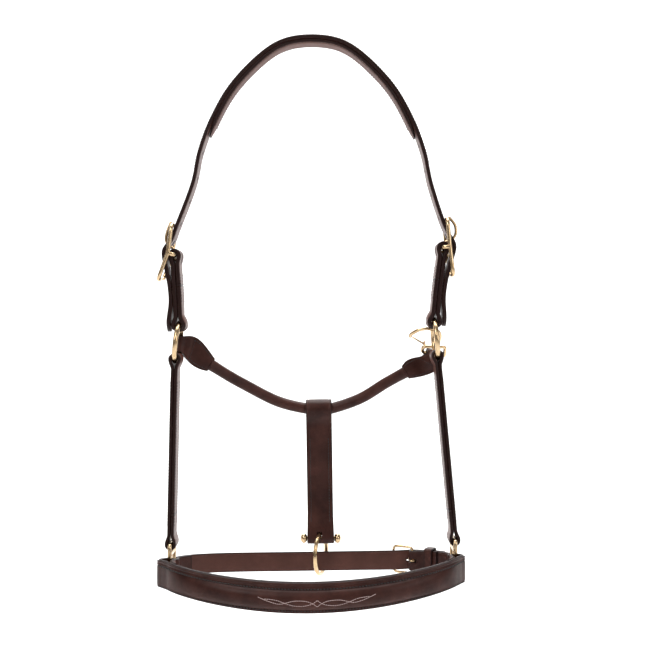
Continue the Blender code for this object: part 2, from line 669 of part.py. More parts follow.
def build_chin():
    layer, over_chape = chin_offsets()
    turn = SQUARE_WIRE + RUN_GAP + CHIN_LAYER / 2
    shares, length = band_shares(CHIN_SAGITTA, 60)
    lap = CHIN_LAP
    reach = 0.016
    heel = share_at(CHIN_BUCKLE_X, CHIN_SAGITTA)
    end_bar = share_at(CHIN_BUCKLE_X - CHIN_BUCKLE_LENGTH, CHIN_SAGITTA)
    bar_fold = CHIN_BUCKLE_WIRE + RUN_GAP + CHAPE_LAYER
    over_bar = bar_fold + TOUCH_GAP + CHIN_LAYER / 2
    under_end = CHIN_BUCKLE_RISE - CHIN_BUCKLE_WIRE - RUN_GAP - CHIN_LAYER / 2

    def long_strap(share):
        if share < 0.5:
            return ease(share * length, reach, turn, layer)
        if share < end_bar:
            return ease((share - 0.5) * length, (end_bar - 0.5) * length, layer, under_end)
        if share < heel:
            return ease((share - end_bar) * length, (heel - end_bar) * length, under_end, over_bar)
        return ease((share - heel) * length, 0.012, over_bar, over_chape)

    lapped = [share for share in shares if 0 < share * length < lap]
    rear = SQUARE_HALF_DEPTH
    path = band_points(CHIN_SAGITTA, False, reversed(lapped), lambda s: -ease(s * length, reach, turn, layer))
    path += bar_turn(BAND_LEFT.x, rear, turn, 0, -180)
    tip = CHIN_TIP_SHARE
    fine = sorted(set(shares + [end_bar, heel, (end_bar + heel) / 2, tip]))
    path += band_points(CHIN_SAGITTA, False, [s for s in fine if 0 < s <= tip], long_strap)
    place = band_place(CHIN_DROOP, CHIN_SEAT)
    widths = [1.0] * (len(path) - 2) + [0.88, 0.5]
    strap = sweep("chin_strap", path, rectangle(CHIN_WIDTH, CHIN_LAYER), place, LEATHER, widths)
    slot_share = heel - (heel - end_bar) * 0.28
    boolean(strap, chin_block("chin_strap_slot", slot_share, over_bar * 0.75, 0.0105, 0.012), "DIFFERENCE")

    chape_layer = (CHAPE_LAYER + TOUCH_GAP) / 2
    square_turn = SQUARE_WIRE + RUN_GAP + CHAPE_LAYER / 2
    heel_turn = CHIN_BUCKLE_WIRE + RUN_GAP + CHAPE_LAYER / 2

    def chape(share):
        near_heel = ease((share - heel) * length, 0.009, heel_turn, chape_layer)
        near_square = ease((1 - share) * length, 0.012, square_turn, chape_layer)
        return max(near_heel, near_square)

    span = [heel + (1 - heel) * k / 14 for k in range(1, 14)]
    start = [s for s in span if s > heel + (1 - heel) * 0.45]
    stop = [s for s in span if s <= heel + (1 - heel) * 0.45]
    path = band_points(CHIN_SAGITTA, False, reversed(stop), lambda s: -chape(s))
    point, outward = band_base(CHIN_SAGITTA, False, heel)
    angle = degrees(atan2(outward.y, outward.x))
    path += bar_turn(point.x, point.y, heel_turn, angle - 180, angle - 360)
    path += band_points(CHIN_SAGITTA, False, span, chape)
    path += bar_turn(BAND_RIGHT.x, rear, square_turn, 0, -180)
    path += band_points(CHIN_SAGITTA, False, reversed(start), lambda s: -chape(s))
    chape_strap = sweep("chin_chape", path, rectangle(CHIN_WIDTH, CHAPE_LAYER), place, LEATHER)
    boolean(chape_strap, chin_block("chin_chape_slot", heel, 0, 0.0100, 0.014), "DIFFERENCE")


def share_at(x, sagitta):
    """Share of a half ellipse at a given x."""
    middle = (BAND_LEFT.x + BAND_RIGHT.x) / 2
    half = (BAND_RIGHT.x - BAND_LEFT.x) / 2
    return 1 - acos((x - middle) / half) / pi


def chin_frame(share):
    """World origin, tangent, outward and up directions on the chin strap's base curve."""
    point, outward = band_base(CHIN_SAGITTA, False, share)
    out = Vector((outward.x, outward.y, 0))
    along = Vector((outward.y, -outward.x, 0))
    return Vector((point.x, point.y, band_height(point.x, CHIN_DROOP, CHIN_SEAT))), along, out, Vector((0, 0, 1))


def chin_block(name, share, offset, length, depth):
    origin, along, out, up = chin_frame(share)
    width = 2 * CHIN_TONGUE_WIRE + 2 * TONGUE_SIDE_CLEAR
    return block(name, origin + out * offset, (along, up, out), (length, width, depth))


def build_chin_buckle():
    heel, along, out, up = chin_frame(share_at(CHIN_BUCKLE_X, CHIN_SAGITTA))
    end, _, end_out, _ = chin_frame(share_at(CHIN_BUCKLE_X - CHIN_BUCKLE_LENGTH, CHIN_SAGITTA))
    far = end + end_out * CHIN_BUCKLE_RISE
    reach = (far - heel)
    centre = heel + reach / 2
    centre.z = heel.z
    direction = Vector((reach.x, reach.y, 0))
    outline = rounded_rectangle(direction.length / 2, CHIN_HALF_FRAME, 0.004)
    direction.normalize()
    points = [centre + direction * a + up * b for a, b in outline]
    wire("chin_buckle", points, CHIN_BUCKLE_WIRE, BRASS, closed=True)
    wrap = CHIN_BUCKLE_WIRE + 0.0002 + CHIN_TONGUE_WIRE
    face = direction.cross(up)
    if face.dot(out) < 0:
        face = -face
    path = [(wrap * cos(radians(a)), wrap * sin(radians(a))) for a in range(100, 385, 30)]
    rest = CHIN_BUCKLE_WIRE + TOUCH_GAP + CHIN_TONGUE_WIRE
    span = reach.length
    path += [(0.0042, 0.0020), (0.0060, 0.0048), (0.0090, 0.0056), (0.0140, 0.0046), (span + 0.0012, rest)]
    points = [heel + direction * a + face * b for a, b in path]
    wire("chin_tongue", points, CHIN_TONGUE_WIRE, BRASS, sides=6, origin=heel)


def build_keeper():
    """Closed leather loop round the chape and the long strap's end."""
    origin, along, out, up = chin_frame(share_at(KEEPER_X, CHIN_SAGITTA))
    chape_half = CHAPE_LAYER + TOUCH_GAP / 2
    inner_low = -chape_half - KEEPER_INNER_CLEAR
    inner_high = chape_half + TOUCH_GAP + CHIN_LAYER + KEEPER_OUTER_CLEAR
    half = CHIN_WIDTH / 2 + KEEPER_SIDE_CLEAR
    inner = [(inner_low, -half), (inner_high, -half), (inner_high, half), (inner_low, half)]
    grow = KEEPER_LEATHER
    outer = [(inner_low - grow, -half - grow), (inner_high + grow, -half - grow),
             (inner_high + grow, half + grow), (inner_low - grow, half + grow)]
    vertices = []
    for shift in (-KEEPER_WIDTH / 2, KEEPER_WIDTH / 2):
        for ring in (outer, inner):
            vertices += [origin + along * shift + out * a + up * b for a, b in ring]
    faces = []
    for j in range(4):
        k = (j + 1) % 4
        faces.append((j, k, 8 + k, 8 + j))
        faces.append((4 + j, 12 + j, 12 + k, 4 + k))
        faces.append((j, 4 + j, 4 + k, k))
        faces.append((8 + j, 8 + k, 12 + k, 12 + j))
    add_object("chin_keeper", vertices, faces, LEATHER)


# ---------------------------------------------------------------- rolled throat and snap
def snap_point(p, q):
    """World point in the snap's plane, whose middle is where the ring's rear wire goes through."""
    spot = PLACES["right"]
    turn = (STRAP_WIDTH / 2 + SNAP_BILLET_GAP) / RING_RADIUS
    ring = spot["ring"] + spot["ring_up"] * RING_RADIUS * cos(turn) + Vector((0, RING_RADIUS * sin(turn), 0))
    return ring + Vector((p, -sin(SNAP_TILT) * q, cos(SNAP_TILT) * q))


EYE_LEFT = (-0.0098, -0.0205)
EYE_RIGHT = (0.0132, -0.0265)
GATE_PIVOT = (-0.0085, -0.0085)
HOOK_NOSE = (-0.0235, 0.0030)


def build_snap():
    """Hook with its eye in one casting, the gate that closes it, and the gate's rivet."""
    hook = smooth_route([(*HOOK_NOSE, 0), (-0.0225, 0.0062, 0), (-0.0150, 0.0122, 0), (-0.0060, 0.0138, 0),
                         (0.0030, 0.0112, 0), (0.0066, 0.0045, 0), (0.0064, -0.0030, 0),
                         (0.0050, -0.0122, 0)], 22)
    body = wire("snap_body", [snap_point(v.x, v.y) for v in hook], SNAP_WIRE, BRASS)
    top_left = (-0.0098, -0.0122)
    top_right = (0.0132, -0.0128)
    corners = [top_left, top_right, EYE_RIGHT, EYE_LEFT]
    eye_points = [snap_point(*c) for c in chamfered(corners, 0.0016)]
    boolean(body, wire("snap_eye", eye_points, SNAP_WIRE * 0.97, BRASS, closed=True), "UNION")
    fork = [snap_point(-0.0085, -0.0122), snap_point(-0.0085, -0.0085)]
    normal = snap_normal()
    for index, shift in enumerate((-0.0021, 0.0021)):
        top = fork[1] + (fork[1] - fork[0]) * 0.35
        ends = [fork[0] + normal * shift, top + normal * shift]
        boolean(body, wire("snap_lug_%d" % index, ends, 0.0010, BRASS, sides=6), "UNION")
    pivot = snap_point(*GATE_PIVOT)
    tip = snap_point(-0.0212, 0.0016)
    along = (tip - pivot).normalized()
    side = normal.cross(along)
    thick = 0.0008
    outline = [(-0.0012, -0.0008), (-0.0012, 0.0008), (0.0030, 0.0010), ((tip - pivot).length, 0.0008),
               ((tip - pivot).length, -0.0008), (0.0030, -0.0010)]
    vertices = []
    for shift in (-thick, thick):
        vertices += [pivot + along * a + side * b + normal * shift for a, b in outline]
    count = len(outline)
    faces = [tuple(range(count)), tuple(range(count, 2 * count))]
    for j in range(count):
        k = (j + 1) % count
        faces.append((j, k, count + k, count + j))
    add_object("snap_gate", vertices, faces, BRASS, origin=pivot)


def snap_normal():
    return Vector((0, cos(SNAP_TILT), sin(SNAP_TILT)))


def chamfered(corners, cut):
    """Polygon with each corner replaced by two points."""
    result = []
    count = len(corners)
    for i in range(count):
        here = Vector(corners[i])
        before = (Vector(corners[i - 1]) - here).normalized()
        after = (Vector(corners[(i + 1) % count]) - here).normalized()
        result.append(tuple(here + before * cut))
        result.append(tuple(here + after * cut))
    return result


def build_tab(name, fold, fold_axis, end, toward, end_across, metal_radius, hug):
    """Doubled leather tab: a fold round metal at one end, the roll's collar at the other."""
    fold = Vector(fold)
    end = Vector(end)
    first = Vector(fold_axis).normalized()
    final = Vector(end_across).normalized()
    span = end - fold
    leave = (span - first * span.dot(first)).normalized()
    length = span.length
    first_pull = fold + leave * length * 0.35
    last_pull = end + toward * length * 0.35
    layer = (TAB_LAYER + TOUCH_GAP) / 2
    radius = metal_radius + RUN_GAP + TAB_LAYER / 2 + (HUG_CLEAR if hug else TOUCH_GAP)
    path = [(length, -layer), (length * 0.75, -layer)]
    path += eye(radius, layer, min(0.012, length * 0.6))
    path += [(length * 0.75, layer), (length, layer)]

    def place(s, h, across):
        t = max(s, 0.0) / length
        r = 1 - t
        point = fold * r ** 3 + first_pull * 3 * r * r * t + last_pull * 3 * r * t * t + end * t ** 3
        leaving = (first_pull - fold) * r * r
        arriving = (end - last_pull) * t * t
        tangent = leaving + (last_pull - first_pull) * 2 * r * t + arriving
        tangent.normalize()
        u = first.lerp(final, t).normalized()
        normal = tangent.cross(u).normalized()
        if s < 0:
            point = fold + leave * s
        full = TAB_FOLD_WIDTH + (TAB_WIDTH - TAB_FOLD_WIDTH) * sin(min(t / 0.45, 1) * pi / 2)
        if t > 0.45:
            full = TAB_WIDTH + (TAB_END_WIDTH - TAB_WIDTH) * ((t - 0.45) / 0.55)
        across = across * full
        shift = Vector()
        if hug:
            fade = 1 - min(max(s / 0.009, 0.0), 1.0)
            turn = across / RING_RADIUS
            shift = Vector((0, -1, 0)) * RING_RADIUS * (1 - cos(turn)) * fade
            across = across * (1 - fade) + RING_RADIUS * sin(turn) * fade
        return point + u * across + normal * h + shift

    return sweep(name, path, rectangle(1.0, TAB_LAYER, 4), place, LEATHER)


def build_throat():
    points = smooth_route(ROLL_ROUTE, 34)
    wire("throat_roll", points, ROLL_RADIUS, LEATHER, sides=12, bore=CORE_RADIUS + TOUCH_GAP)
    wire("throat_core", points, CORE_RADIUS, LINING, sides=6)
    spot = PLACES["left"]
    fold = spot["ring"] - spot["ring_up"] * RING_RADIUS * sin(TAB_DIP)
    fold = fold + Vector((0, RING_RADIUS * cos(TAB_DIP), 0))
    fold_axis = spot["ring_up"] * cos(TAB_DIP) + Vector((0, sin(TAB_DIP), 0))
    toward = (points[0] - points[1]).normalized()
    end = points[0] + toward * TOUCH_GAP
    across = Vector((0.47, 0, 0.88))
    across = across - toward * across.dot(toward)
    build_tab("throat_left_tab", fold, fold_axis, end, toward, across, RING_WIRE, True)
    bar_left = snap_point(*EYE_LEFT)
    bar_right = snap_point(*EYE_RIGHT)
    toward = (points[-1] - points[-2]).normalized()
    end = points[-1] + toward * TOUCH_GAP
    across = Vector((0.49, 0, -0.87))
    across = across - toward * across.dot(toward)
    fold = (bar_left + bar_right) / 2
    build_tab("throat_right_tab", fold, bar_right - bar_left, end, toward, across, SNAP_WIRE, False)


# ---------------------------------------------------------------- centre strap and tie ring
def build_centre():
    roll_eye = ROLL_RADIUS + ROLL_CLEAR + CENTRE_LAYER / 2
    bolt_eye = BOLT_RADIUS + RUN_GAP + CENTRE_LAYER / 2
    foot = tie_bolt_point()
    start = Vector(CENTRE_TOP)
    along = foot - start
    length = along.length
    along.normalize()
    side = Vector((1, 0, 0))
    side = (side - along * side.dot(along)).normalized()
    normal = along.cross(side)
    layer = (CENTRE_LAYER + TOUCH_GAP) / 2
    path = two_eye_path(length, roll_eye, bolt_eye, layer, 0.016, length * 0.24)

    def place(s, h, across):
        return start + along * s + normal * h + side * across

    strap = sweep("centre_strap", path, rectangle(CENTRE_WIDTH, CENTRE_LAYER), place, LEATHER, origin=start)
    slot_middle = foot + Vector((0, 0, (TIE_SLOT_LOW + TIE_SLOT_HIGH) / 2))
    axes = (Vector((1, 0, 0)), Vector((0, 1, 0)), Vector((0, 0, 1)))
    slot = block("centre_slot", slot_middle, axes, (TIE_SLOT_WIDTH, 0.020, TIE_SLOT_HIGH - TIE_SLOT_LOW))
    boolean(strap, slot, "DIFFERENCE")
    bolt_end = BOLT_HALF_LENGTH - BALL_HALF_LENGTH - TOUCH_GAP
    ends = [foot + Vector((x, 0, 0)) for x in (-bolt_end, bolt_end)]
    wire("tie_bolt", ends, BOLT_RADIUS, BRASS, sides=10)
    for side_name, sign in (("left", -1), ("right", 1)):
        ball("bolt_%s_ball" % side_name, foot + Vector((sign * BOLT_HALF_LENGTH, 0, 0)))
    centre = foot - Vector((0, 0, TIE_RADIUS - TIE_WIRE - BOLT_RADIUS - TIE_CLEAR))
    across = Vector((sin(TIE_TURN), cos(TIE_TURN), 0))
    points = []
    for k in range(32):
        angle = 2 * pi * k / 32
        points.append(centre + across * TIE_RADIUS * sin(angle) + Vector((0, 0, TIE_RADIUS * cos(angle))))
    wire("tie_ring", points, TIE_WIRE, BRASS, closed=True, origin=foot)


def tie_bolt_point():
    """The bolt hangs above the chin strap so that the ring it carries goes round that strap."""
    share = share_at(CENTRE_FOOT_X, CHIN_SAGITTA)
    origin, along, out, up = chin_frame(share)
    layer, _ = chin_offsets()
    low = origin.z - CHIN_WIDTH / 2 - 0.0007
    inside = TIE_RADIUS - TIE_WIRE
    centre_z = low + inside
    return Vector((CENTRE_FOOT_X, origin.y + layer, centre_z + inside - BOLT_RADIUS - TIE_CLEAR))


def ball(name, centre):
    """Round nut on the bolt's end, turned from half an ellipse."""
    rings = 7
    sides = 12
    vertices = [centre + Vector((-BALL_HALF_LENGTH, 0, 0))]
    for i in range(1, rings):
        angle = pi * i / rings
        for j in range(sides):
            turn = 2 * pi * j / sides
            vertices.append(centre + Vector((-BALL_HALF_LENGTH * cos(angle), BALL_RADIUS * sin(angle) * cos(turn),
                                             BALL_RADIUS * sin(angle) * sin(turn))))
    vertices.append(centre + Vector((BALL_HALF_LENGTH, 0, 0)))
    faces = []
    for j in range(sides):
        k = (j + 1) % sides
        faces.append((0, 1 + j, 1 + k))
        last = 1 + (rings - 2) * sides
        faces.append((last + j, last + k, len(vertices) - 1))
        for i in range(rings - 2):
            low = 1 + i * sides
            faces.append((low + j, low + k, low + sides + k, low + sides + j))
    add_object(name, vertices, faces, BRASS)


# ---------------------------------------------------------------- assembly
def main():
    for item in list(bpy.data.objects):
        bpy.data.objects.remove(item)
    build_crown()
    for side in SIDES:
        build_crown_buckle(side)
        build_billet(side)
        build_ring(side)
        build_cheek(side)
        build_square(side)
    build_noseband()
    build_chin()
    build_chin_buckle()
    build_keeper()
    build_throat()
    build_snap()
    build_centre()


main()
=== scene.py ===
"""Looks of the leather headcollar: fine leather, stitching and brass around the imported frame.

Metres, +Z up, noseband towards -Y. Most sizes repeat the frame's own; comments name the exceptions.
"""
from math import acos, atan2, cos, degrees, dist, pi, radians, sin

import bmesh
import bpy
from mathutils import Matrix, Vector


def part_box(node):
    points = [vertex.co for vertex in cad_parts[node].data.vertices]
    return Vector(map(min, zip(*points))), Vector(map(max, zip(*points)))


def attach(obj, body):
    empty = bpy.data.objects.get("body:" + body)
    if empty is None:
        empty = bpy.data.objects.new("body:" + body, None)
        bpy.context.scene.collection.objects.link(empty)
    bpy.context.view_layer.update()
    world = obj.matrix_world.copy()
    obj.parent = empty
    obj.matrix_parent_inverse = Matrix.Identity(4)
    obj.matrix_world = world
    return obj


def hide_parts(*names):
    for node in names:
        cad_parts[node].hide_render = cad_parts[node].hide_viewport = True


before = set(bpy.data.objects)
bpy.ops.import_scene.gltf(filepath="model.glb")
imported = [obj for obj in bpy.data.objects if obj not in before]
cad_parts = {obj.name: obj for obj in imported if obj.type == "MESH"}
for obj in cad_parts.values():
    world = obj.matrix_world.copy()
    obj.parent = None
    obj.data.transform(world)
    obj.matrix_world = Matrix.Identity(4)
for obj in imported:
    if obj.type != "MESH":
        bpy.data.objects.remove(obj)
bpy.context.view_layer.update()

# ---------------------------------------------------------------- sizes
TOUCH_GAP = 0.0003
RUN_GAP = 0.0004
STRAP_WIDTH = 0.025
CROWN_THICKNESS = 0.0038
BILLET_LAYER = 0.0042
CHEEK_LAYER = 0.0032
CHEEK_LENGTH = 0.181
LINING_THICKNESS = 0.0035
LINING_HALF_SPAN = 0.106
CROWN_TIP_DROP = 0.050
RING_RADIUS = 0.0195
RING_WIRE = 0.0025
BUCKLE_LENGTH = 0.056
BUCKLE_SIDE_CLEAR = 0.0025
BUCKLE_WIRE = 0.0020
BUCKLE_CORNER = 0.0070
BUCKLE_RISE = 0.0060
TONGUE_WIRE = 0.0015
TONGUE_CLEAR = 0.0002
CROWN_BOW = 0.0028
HOLE_ABOVE_BAR = 0.0072
SQUARE_WIRE = 0.0021
SQUARE_LOOP = 0.0099
SQUARE_HALF_DEPTH = 0.016
SQUARE_CORNER = 0.0030
NOSEBAND_END_WIDTH = 0.0272
NOSEBAND_MID_WIDTH = 0.0292
NOSEBAND_LAYER = 0.0032
NOSEBAND_SAGITTA = 0.065
NOSEBAND_DROOP = 0.0105
NOSE_LINING = 0.0024
NOSEBAND_LAP = 0.034
FOLD_REACH = 0.016          # along a band, from a square's bar to where its layers lie flat
CHIN_WIDTH = 0.0203
CHIN_LAYER = 0.0030
CHAPE_LAYER = 0.0022
CHIN_SAGITTA = 0.044
CHIN_LAP = 0.046
CHIN_TIP_SHARE = 0.935
CHIN_SIDE_CLEAR = 0.0019
CHIN_MIDDLE_DROP = 0.0077
CHIN_SEAT_CLEAR = 0.0006
CHIN_BUCKLE_LENGTH = 0.020
CHIN_BUCKLE_WIRE = 0.0014
CHIN_TONGUE_WIRE = 0.0011
CHIN_BUCKLE_RISE = 0.0045
CHIN_BUCKLE_X = 0.104
KEEPER_X = 0.121
KEEPER_WIDTH = 0.009
KEEPER_CLEAR = (0.0013, 0.0019, 0.0012)     # inner face, outer face, edges
ROLL_RADIUS = 0.00575
TAB_LAYER = 0.0026
TAB_WIDTH = 0.0265           # narrower than the frame's, to match the photo
TAB_FOLD_WIDTH = 0.0158
TAB_CHEEK_GAP = 0.0075
TAB_END_WIDTH = 0.021
HUG_CLEAR = 0.0013
SNAP_WIRE = 0.0018
SNAP_TILT = radians(45)
CENTRE_WIDTH = 0.027
CENTRE_LAYER = 0.0030
ROLL_CLEAR = 0.0016
BOLT_RADIUS = 0.0024
BALL_CLEAR = 0.0005
BALL_RADIUS = 0.0053
BALL_HALF_LENGTH = 0.0037
BOLT_HALF_LENGTH = CENTRE_WIDTH / 2 + BALL_CLEAR + BALL_HALF_LENGTH
TIE_RADIUS = 0.0210
TIE_WIRE = 0.0022
TIE_CLEAR = 0.0002
TIE_TURN = radians(16)
SIDES = {
    "left": {"sign": -1, "ring": (-0.134, -0.297), "ring_lean": radians(6.5), "bar": (-0.136, -0.211),
             "buckle_lean": radians(20.0), "frame_bend": 0.0062, "cheek_lean": radians(1.2)},
    "right": {"sign": 1, "ring": (0.123, -0.2935), "ring_lean": radians(5.0), "bar": (0.130, -0.2035),
              "buckle_lean": radians(7.0), "frame_bend": 0.0010, "cheek_lean": radians(5.3)},
}
CROWN_ARCH = [(0.0, 0.0057), (0.028, 0.0015), (0.052, -0.0135), (0.080, -0.0430), (0.099, -0.0760),
              (0.111, -0.1080), (0.118, -0.1400)]
ROLL_ROUTE = [(-0.1050, 0.0280, -0.3200), (-0.0880, 0.0345, -0.3312), (-0.0720, 0.0405, -0.3408),
              (-0.0380, 0.0495, -0.3590), (-0.0090, 0.0535, -0.3670), (0.0065, 0.0540, -0.3680),
              (0.0205, 0.0535, -0.3672), (0.0500, 0.0485, -0.3565), (0.0760, 0.0400, -0.3400),
              (0.0970, 0.0315, -0.3277)]
CENTRE_TOP = (0.0065, 0.0540, -0.3680)
EYE_LEFT = (-0.0098, -0.0205)
EYE_RIGHT = (0.0132, -0.0265)
GATE_PIVOT = (-0.0085, -0.0085)

BILLET_OFFSET = (BILLET_LAYER + TOUCH_GAP) / 2
CHEEK_OFFSET = (CHEEK_LAYER + TOUCH_GAP) / 2
BILLET_RING_EYE = RING_WIRE + RUN_GAP + TOUCH_GAP + BILLET_LAYER / 2
CHEEK_RING_EYE = RING_WIRE + RUN_GAP + TOUCH_GAP + CHEEK_LAYER / 2
BAR_EYE = BUCKLE_WIRE + RUN_GAP + BILLET_LAYER / 2
SQUARE_EYE = SQUARE_WIRE + RUN_GAP + CHEEK_LAYER / 2
SQUARE_WINDOW = NOSEBAND_END_WIDTH + 0.0010
SQUARE_HEIGHT = SQUARE_LOOP + SQUARE_WINDOW + 2 * SQUARE_WIRE
SQUARE_MIDDLE = SQUARE_LOOP + SQUARE_WIRE + SQUARE_WINDOW / 2
CHIN_SEAT = (SQUARE_WINDOW - CHIN_WIDTH) / 2 - CHIN_SEAT_CLEAR
CHIN_DROOP = CHIN_MIDDLE_DROP - CHIN_SEAT
BUCKLE_HALF_WIDTH = STRAP_WIDTH / 2 + BUCKLE_SIDE_CLEAR + BUCKLE_WIRE
CHIN_HALF_FRAME = CHIN_WIDTH / 2 + CHIN_SIDE_CLEAR + CHIN_BUCKLE_WIRE
STEP = 0.0022               # spacing of a strap's stations along its length
SKIN = 0.0001               # how far a thread's middle line lies off the leather
THREAD_PROFILE = ((-0.5, 0.35), (-0.36, 0.85), (0.0, 1.0), (0.36, 0.85), (0.5, 0.35))
HOLE_PITCH = 0.0245
HOLE_RADIUS = 0.0019
CHIN_HOLE_PITCH = 0.0072
CHIN_HOLE_RADIUS = 0.0014
# Slots for tongues and the tie: three sizes each. The chin's and the tie's are smaller than the frame's.
CROWN_SLOT = (0.0135, 0.0044, 0.018)
BILLET_SLOT = (0.0160, 0.0044, 0.020)
CHIN_SLOT = (0.0056, 0.0030, 0.012)
CHAPE_SLOT = (0.0100, 0.0036, 0.014)
TIE_SLOT = (0.0054, 0.0080, 0.0068)
BLOCK_FACES = [(0, 1, 3, 2), (4, 6, 7, 5), (0, 4, 5, 1), (2, 3, 7, 6), (0, 2, 6, 4), (1, 5, 7, 3)]


# ---------------------------------------------------------------- materials
class Nodes:
    """Short way to add and link shader nodes in one material."""

    def __init__(self, name):
        self.material = bpy.data.materials.new(name)
        self.material.use_nodes = True
        self.tree = self.material.node_tree
        self.shader = self.tree.nodes["Principled BSDF"]

    def add(self, kind, inputs=(), **settings):
        node = self.tree.nodes.new(kind)
        for key, value in settings.items():
            setattr(node, key, value)
        for socket, value in dict(inputs).items():
            if isinstance(value, bpy.types.NodeSocket):
                self.tree.links.new(value, node.inputs[socket])
            else:
                node.inputs[socket].default_value = value
        return node

    def mix(self, factor, first, second):
        return self.add("ShaderNodeMix", {0: factor, 6: first, 7: second}, data_type="RGBA").outputs[2]

    def maths(self, operation, first, second):
        return self.add("ShaderNodeMath", {0: first, 1: second}, operation=operation).outputs[0]

    def noise(self, place, scale, detail, roughness=0.5, distortion=0.0):
        node = self.add("ShaderNodeTexNoise", {"Vector": place, "Scale": scale, "Detail": detail,
                                                "Roughness": roughness, "Distortion": distortion})
        return node.outputs["Fac"]

    def bump(self, height, strength, distance):
        node = self.add("ShaderNodeBump", {"Height": height, "Strength": strength, "Distance": distance})
        self.plug("Normal", node.outputs["Normal"])

    def remap(self, value, low, high, to_low=0.0, to_high=1.0):
        node = self.add("ShaderNodeMapRange", {"Value": value, "From Min": low, "From Max": high,
                                                "To Min": to_low, "To Max": to_high})
        return node.outputs["Result"]

    def plug(self, socket, value):
        self.tree.links.new(value, self.shader.inputs[socket])


def leather(name, dark, light, edge, roughness, coat):
    """Waxed bridle leather: mottled dye, pores, fine creases, burnished dark edges, and a painted sheen that
    lightens the inner faces.
    """
    n = Nodes(name)
    place = n.add("ShaderNodeTexCoord").outputs["Object"]
    cloud = n.noise(place, 38.0, 5.0, 0.62)
    fine = n.noise(place, 420.0, 4.0, 0.7)
    pores = n.add("ShaderNodeTexVoronoi", {"Vector": place, "Scale": 1150.0, "Randomness": 1.0})
    creases = n.noise(place, 150.0, 6.0, 0.75, 1.2)
    tone = n.mix(n.remap(cloud, 0.35, 0.70), (*dark, 1), (*light, 1))
    tone = n.mix(n.remap(fine, 0.35, 0.75, 0.0, 0.35), tone, (*dark, 1))
    rim = n.add("ShaderNodeAttribute", attribute_name="edge").outputs["Fac"]
    painted_sheen = n.add("ShaderNodeAttribute", attribute_name="painted_sheen").outputs["Fac"]
    # Painted sheen: faces marked as inner are mixed toward a lighter pinkish brown, standing in for the white
    # surroundings lighting them at grazing angles.
    painted_sheen_tone = n.mix(n.remap(painted_sheen, 0.0, 1.0, 0.0, 0.62), tone, (0.135, 0.058, 0.044, 1))
    ragged = n.maths("ADD", rim, n.remap(creases, 0.3, 0.7, -0.16, 0.16))
    n.plug("Base Color", n.mix(n.remap(ragged, 0.25, 0.75), painted_sheen_tone, (*edge, 1)))
    n.plug("Roughness", n.remap(fine, 0.3, 0.7, roughness - 0.07, roughness + 0.09))
    n.shader.inputs["Coat Weight"].default_value = coat
    n.shader.inputs["Coat Roughness"].default_value = 0.30
    n.shader.inputs["Specular IOR Level"].default_value = 0.13
    height = n.maths("MULTIPLY", pores.outputs["Distance"], 0.55)
    n.bump(n.maths("ADD", n.maths("ADD", height, fine), creases), 0.45, 0.00022)
    return n.material


def brass(name):
    """Polished cast brass with soft tarnish, fine scratches and a slightly uneven cast skin."""
    n = Nodes(name)
    place = n.add("ShaderNodeTexCoord").outputs["Object"]
    cloud = n.noise(place, 90.0, 5.0, 0.65)
    cast = n.noise(place, 240.0, 3.0)
    stretch = n.add("ShaderNodeMapping", {"Vector": place, "Scale": (900.0, 900.0, 3500.0),
                                          "Rotation": (0.6, 0.3, 0.2)})
    scratch = n.noise(stretch.outputs["Vector"], 1.0, 2.0)
    tone = n.mix(n.remap(cloud, 0.35, 0.72), (0.66, 0.49, 0.30, 1), (0.50, 0.34, 0.18, 1))
    n.plug("Base Color", tone)
    n.shader.inputs["Metallic"].default_value = 1.0
    n.plug("Roughness", n.remap(scratch, 0.3, 0.7, 0.13, 0.26))
    n.bump(n.maths("ADD", cast, scratch), 0.25, 0.00012)
    return n.material


def thread(name, light, dark):
    """Waxed twisted thread."""
    n = Nodes(name)
    place = n.add("ShaderNodeTexCoord").outputs["Object"]
    twist = n.add("ShaderNodeTexWave", {"Vector": place, "Scale": 900.0, "Distortion": 1.5},
                  bands_direction="DIAGONAL").outputs["Fac"]
    n.plug("Base Color", n.mix(twist, (*light, 1), (*dark, 1)))
    n.shader.inputs["Roughness"].default_value = 0.6
    n.shader.inputs["Sheen Weight"].default_value = 0.2
    n.bump(twist, 0.5, 0.0001)
    return n.material


HAVANA = leather("havana_leather", (0.023, 0.0070, 0.0052), (0.060, 0.0215, 0.0160), (0.0150, 0.0052, 0.0042),
                 0.38, 0.035)
LINING = leather("lining_leather", (0.034, 0.0125, 0.0095), (0.072, 0.029, 0.022), (0.0160, 0.0062, 0.0050),
                 0.50, 0.02)
BRASS = brass("polished_brass")
DARK_THREAD = thread("dark_thread", (0.0060, 0.0026, 0.0022), (0.0025, 0.0013, 0.0012))
FANCY_THREAD = thread("fancy_thread", (0.52, 0.39, 0.37), (0.34, 0.24, 0.23))


# ---------------------------------------------------------------- mesh helpers
def make_mesh(name, vertices, faces):
    """Smooth mesh whose faces all look outwards."""
    mesh = bpy.data.meshes.new(name)
    mesh.from_pydata([tuple(v) for v in vertices], [], faces)
    cage = bmesh.new()
    cage.from_mesh(mesh)
    bmesh.ops.recalc_face_normals(cage, faces=cage.faces)
    cage.to_mesh(mesh)
    cage.free()
    mesh.shade_smooth()
    return mesh


def add_piece(name, vertices, faces, material, body, nodes=(), marks=None, sharp=42):
    """Closed mesh piece that rides on a body and stands for its CAD nodes."""
    mesh = make_mesh(name, vertices, faces)
    for key, values in (marks or {}).items():
        mesh.attributes.new(key, "FLOAT", "POINT").data.foreach_set("value", values)
    mesh.set_sharp_from_angle(angle=radians(sharp))
    mesh.materials.append(material)
    piece = bpy.data.objects.new(name, mesh)
    bpy.context.scene.collection.objects.link(piece)
    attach(piece, body)
    if nodes:
        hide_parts(*nodes)
    return piece


